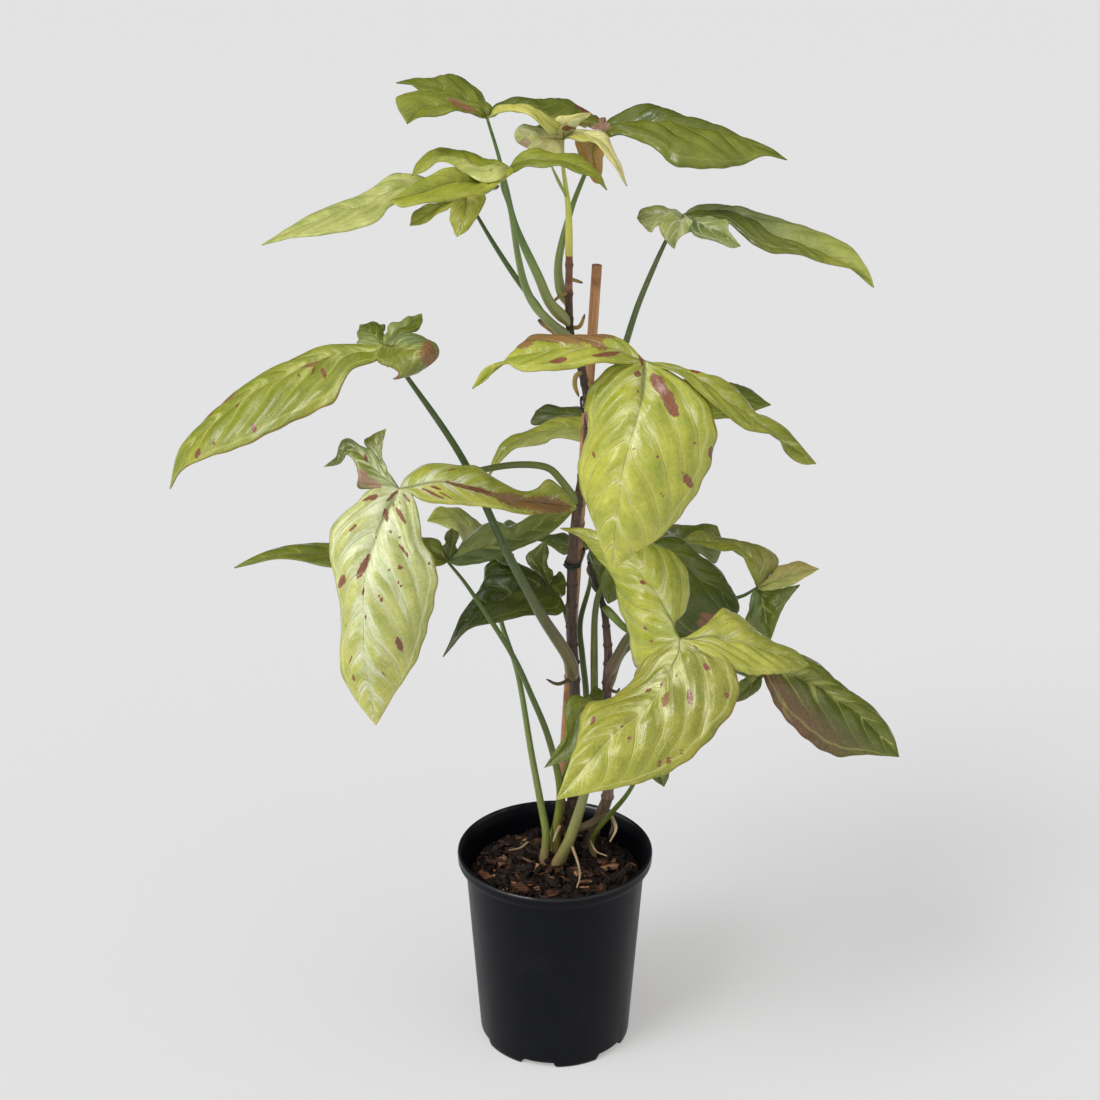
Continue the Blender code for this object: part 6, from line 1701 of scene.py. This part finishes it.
def pot_material():
    """Black moulded plastic: a satin grain, faint flow marks, patches of thin dust and a glossier lip."""
    made, n = new_material("black nursery plastic")
    place = n.place()
    grain = n.noise(place, 1500.0, 2.0, 0.6)
    drawn_up = n.put("ShaderNodeMapping", {"Vector": place, "Scale": (1.0, 1.0, 0.12)}).outputs[0]
    flow = n.noise(drawn_up, 70.0, 3.0)
    patchy = n.noise(place, 22.0, 5.0, 0.6)
    dust = n.times(n.step(patchy, 0.52, 0.78), n.step(grain, 0.35, 0.7))
    colour = n.mix(flow, lit("pot dark"), lit("pot light"))
    height = n.put("ShaderNodeSeparateXYZ", {"Vector": place}).outputs["Z"]
    values = {
        "Base Color": n.mix(n.times(dust, 0.05), colour, lit("pot dust")),
        "Roughness": n.scaled(dust, 0.2, n.step(flow, 0.3, 0.7, 0.30, 0.40)), "Specular IOR Level": 0.11,
        "Coat Weight": n.step(height, (POT_HEIGHT - 2.6) * MM, (POT_HEIGHT - 1.2) * MM, 0.0, 0.7),
        "Coat Roughness": 0.07,
    }
    return finished(made, n, values, n.plus(n.times(grain, 0.25), flow), 0.00012)


def dry_root_material(tree):
    """Dry roots: pale straw with darker threads."""
    made, n = new_material("dry root skin")
    threads = n.lines(tree, 14.0, 0.12, 4.0, 0.6)
    colour = n.mix(n.step(threads, 0.3, 0.7), lit("root dark"), lit("root light"))
    values = {"Base Color": colour, "Roughness": n.step(threads, 0.2, 0.8, 0.55, 0.75)}
    return finished(made, n, values, threads, 0.0004)


def add_threads(dry, skin):
    """Fine dry roots over the bark, as one piece, and the thin green sheath near the top as another."""
    pieces = []
    share = np.linspace(0, 1, THREAD_STEPS + 1)
    # the bark lies higher than the threads were placed for, so they come nearer to keep their place in view
    nearer = 2.1 * BARK_LIFT
    for thread in THREADS:
        path = evenly([seen((x, y, depth - nearer)) for x, y, depth in thread["path"]], THREAD_STEPS)
        pieces.append(tube_mesh(path, spread(thread["radii"], share), THREAD_SIDES))
    add_piece("dry_roots", "potting bark", [], joined(pieces), dry)
    path = evenly([seen(point) for point in SHEATH["path"]], THREAD_STEPS)
    places, faces, fields = tube_mesh(path, spread(SHEATH["radii"], share), ROOT_SIDES)
    fields["tone"] = np.tile(lit("sheath"), (len(places), 1))
    add_piece("thin_sheath", "petiole", ["sheath"], (places, faces, fields), skin)


def add_studio():
    """The pale floor, a faint even sky with its soft boxes, a soft key light from the upper left, and the
    camera."""
    mesh = bpy.data.meshes.new("floor")
    corners = [(x * FLOOR_HALF, y * FLOOR_HALF, 0.0) for x, y in ((-1, -1), (1, -1), (1, 1), (-1, 1))]
    mesh.from_pydata(corners, [], [(0, 1, 2, 3)])
    made, n = new_material("studio paper")
    colour = n.mix(n.noise(n.place(), 900.0, 2.0), lit("paper dark"), lit("paper light"))
    values = {
        "Base Color": colour, "Roughness": 0.85, "Specular IOR Level": 0.2,
        "Emission Color": FLOOR_TINT, "Emission Strength": FLOOR_GLOW,
    }
    mesh.materials.append(finished(made, n, values))
    floor = bpy.data.objects.new("studio_floor", mesh)
    bpy.context.scene.collection.objects.link(floor)

    world = bpy.data.worlds.new("studio sky")
    world.use_nodes = True
    bpy.context.scene.world = world
    n = Bench(world.node_tree)
    back = world.node_tree.nodes["Background"]
    toward = n.put("ShaderNodeTexCoord").outputs["Generated"]
    glow = SKY
    for facing, full, gone, strength in SOFT_BOXES:
        ways = {0: toward, 1: tuple(unit(np.array(facing)))}
        nearness = n.put("ShaderNodeVectorMath", ways, operation="DOT_PRODUCT").outputs["Value"]
        edges = math.cos(math.radians(gone)), math.cos(math.radians(full))
        glow = n.plus(glow, n.step(nearness, *edges, 0.0, strength))
    seen_by_camera = n.put("ShaderNodeLightPath").outputs["Is Camera Ray"]
    sky = n.tint(n.join(glow, glow, glow), SKY_TINT)
    n.feed(back.inputs["Color"], n.mix(seen_by_camera, sky, lit("sky seen")))
    back.inputs["Strength"].default_value = 1.0

    key = bpy.data.lights.new("key", "SUN")
    key.energy = KEY_STRENGTH
    key.angle = math.radians(KEY_ANGLE)
    key.color = KEY_COLOUR
    lamp = bpy.data.objects.new("key", key)
    lamp.rotation_euler = Vector(KEY_FROM).to_track_quat("Z", "Y").to_euler()
    bpy.context.scene.collection.objects.link(lamp)

    data = bpy.data.cameras.new("camera")
    data.sensor_width = SENSOR
    data.lens = FOCAL / FRAME_PIXELS * data.sensor_width
    camera = bpy.data.objects.new("camera", data)
    camera.location = EYE * MM
    camera.rotation_euler = (math.pi / 2 - LOOK_DOWN, 0.0, 0.0)
    bpy.context.scene.collection.objects.link(camera)
    bpy.context.scene.camera = camera
    bpy.context.scene.view_settings.view_transform = "Standard"


def main():
    """Builds every piece and the studio."""
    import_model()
    pattern, lines = leaf_pattern(), lines_pattern()
    upper = leaf_material("leaf upper face", pattern, marked=1.0, thin=0.0, dull=0.0, gloss=0.5)
    under = leaf_material("leaf underside", pattern, marked=0.6, thin=0.42, dull=0.16, gloss=0.15)
    stalk, stem = stalk_material(lines), stem_material(lines)
    wire, dry = wire_material(), dry_root_material(lines)
    for name, leaf in LEAVES.items():
        add_blade(name, leaf, upper, under)
        add_stalk(name, PETIOLES[name], leaf["junction"], stalk)
    for name in STEMS:
        add_stem(name, stem)
    add_stake(bamboo_material(lines))
    for number, row in enumerate(TIE_ROWS, 1):
        add_tie(number, row, wire)
    add_pot(pot_material())
    add_bed(bark_material("packed bark", True))
    chip = bark_material("bark chip", False)
    add_chips("bark_chips", BARK_CHIPS, CHIP_LENGTH, CHIP_SEED, chip)
    add_chips("bark_crumbs", FINE_CHIPS, CRUMB_LENGTH, CRUMB_SEED, chip)
    add_threads(dry, stalk)
    add_studio()


main()
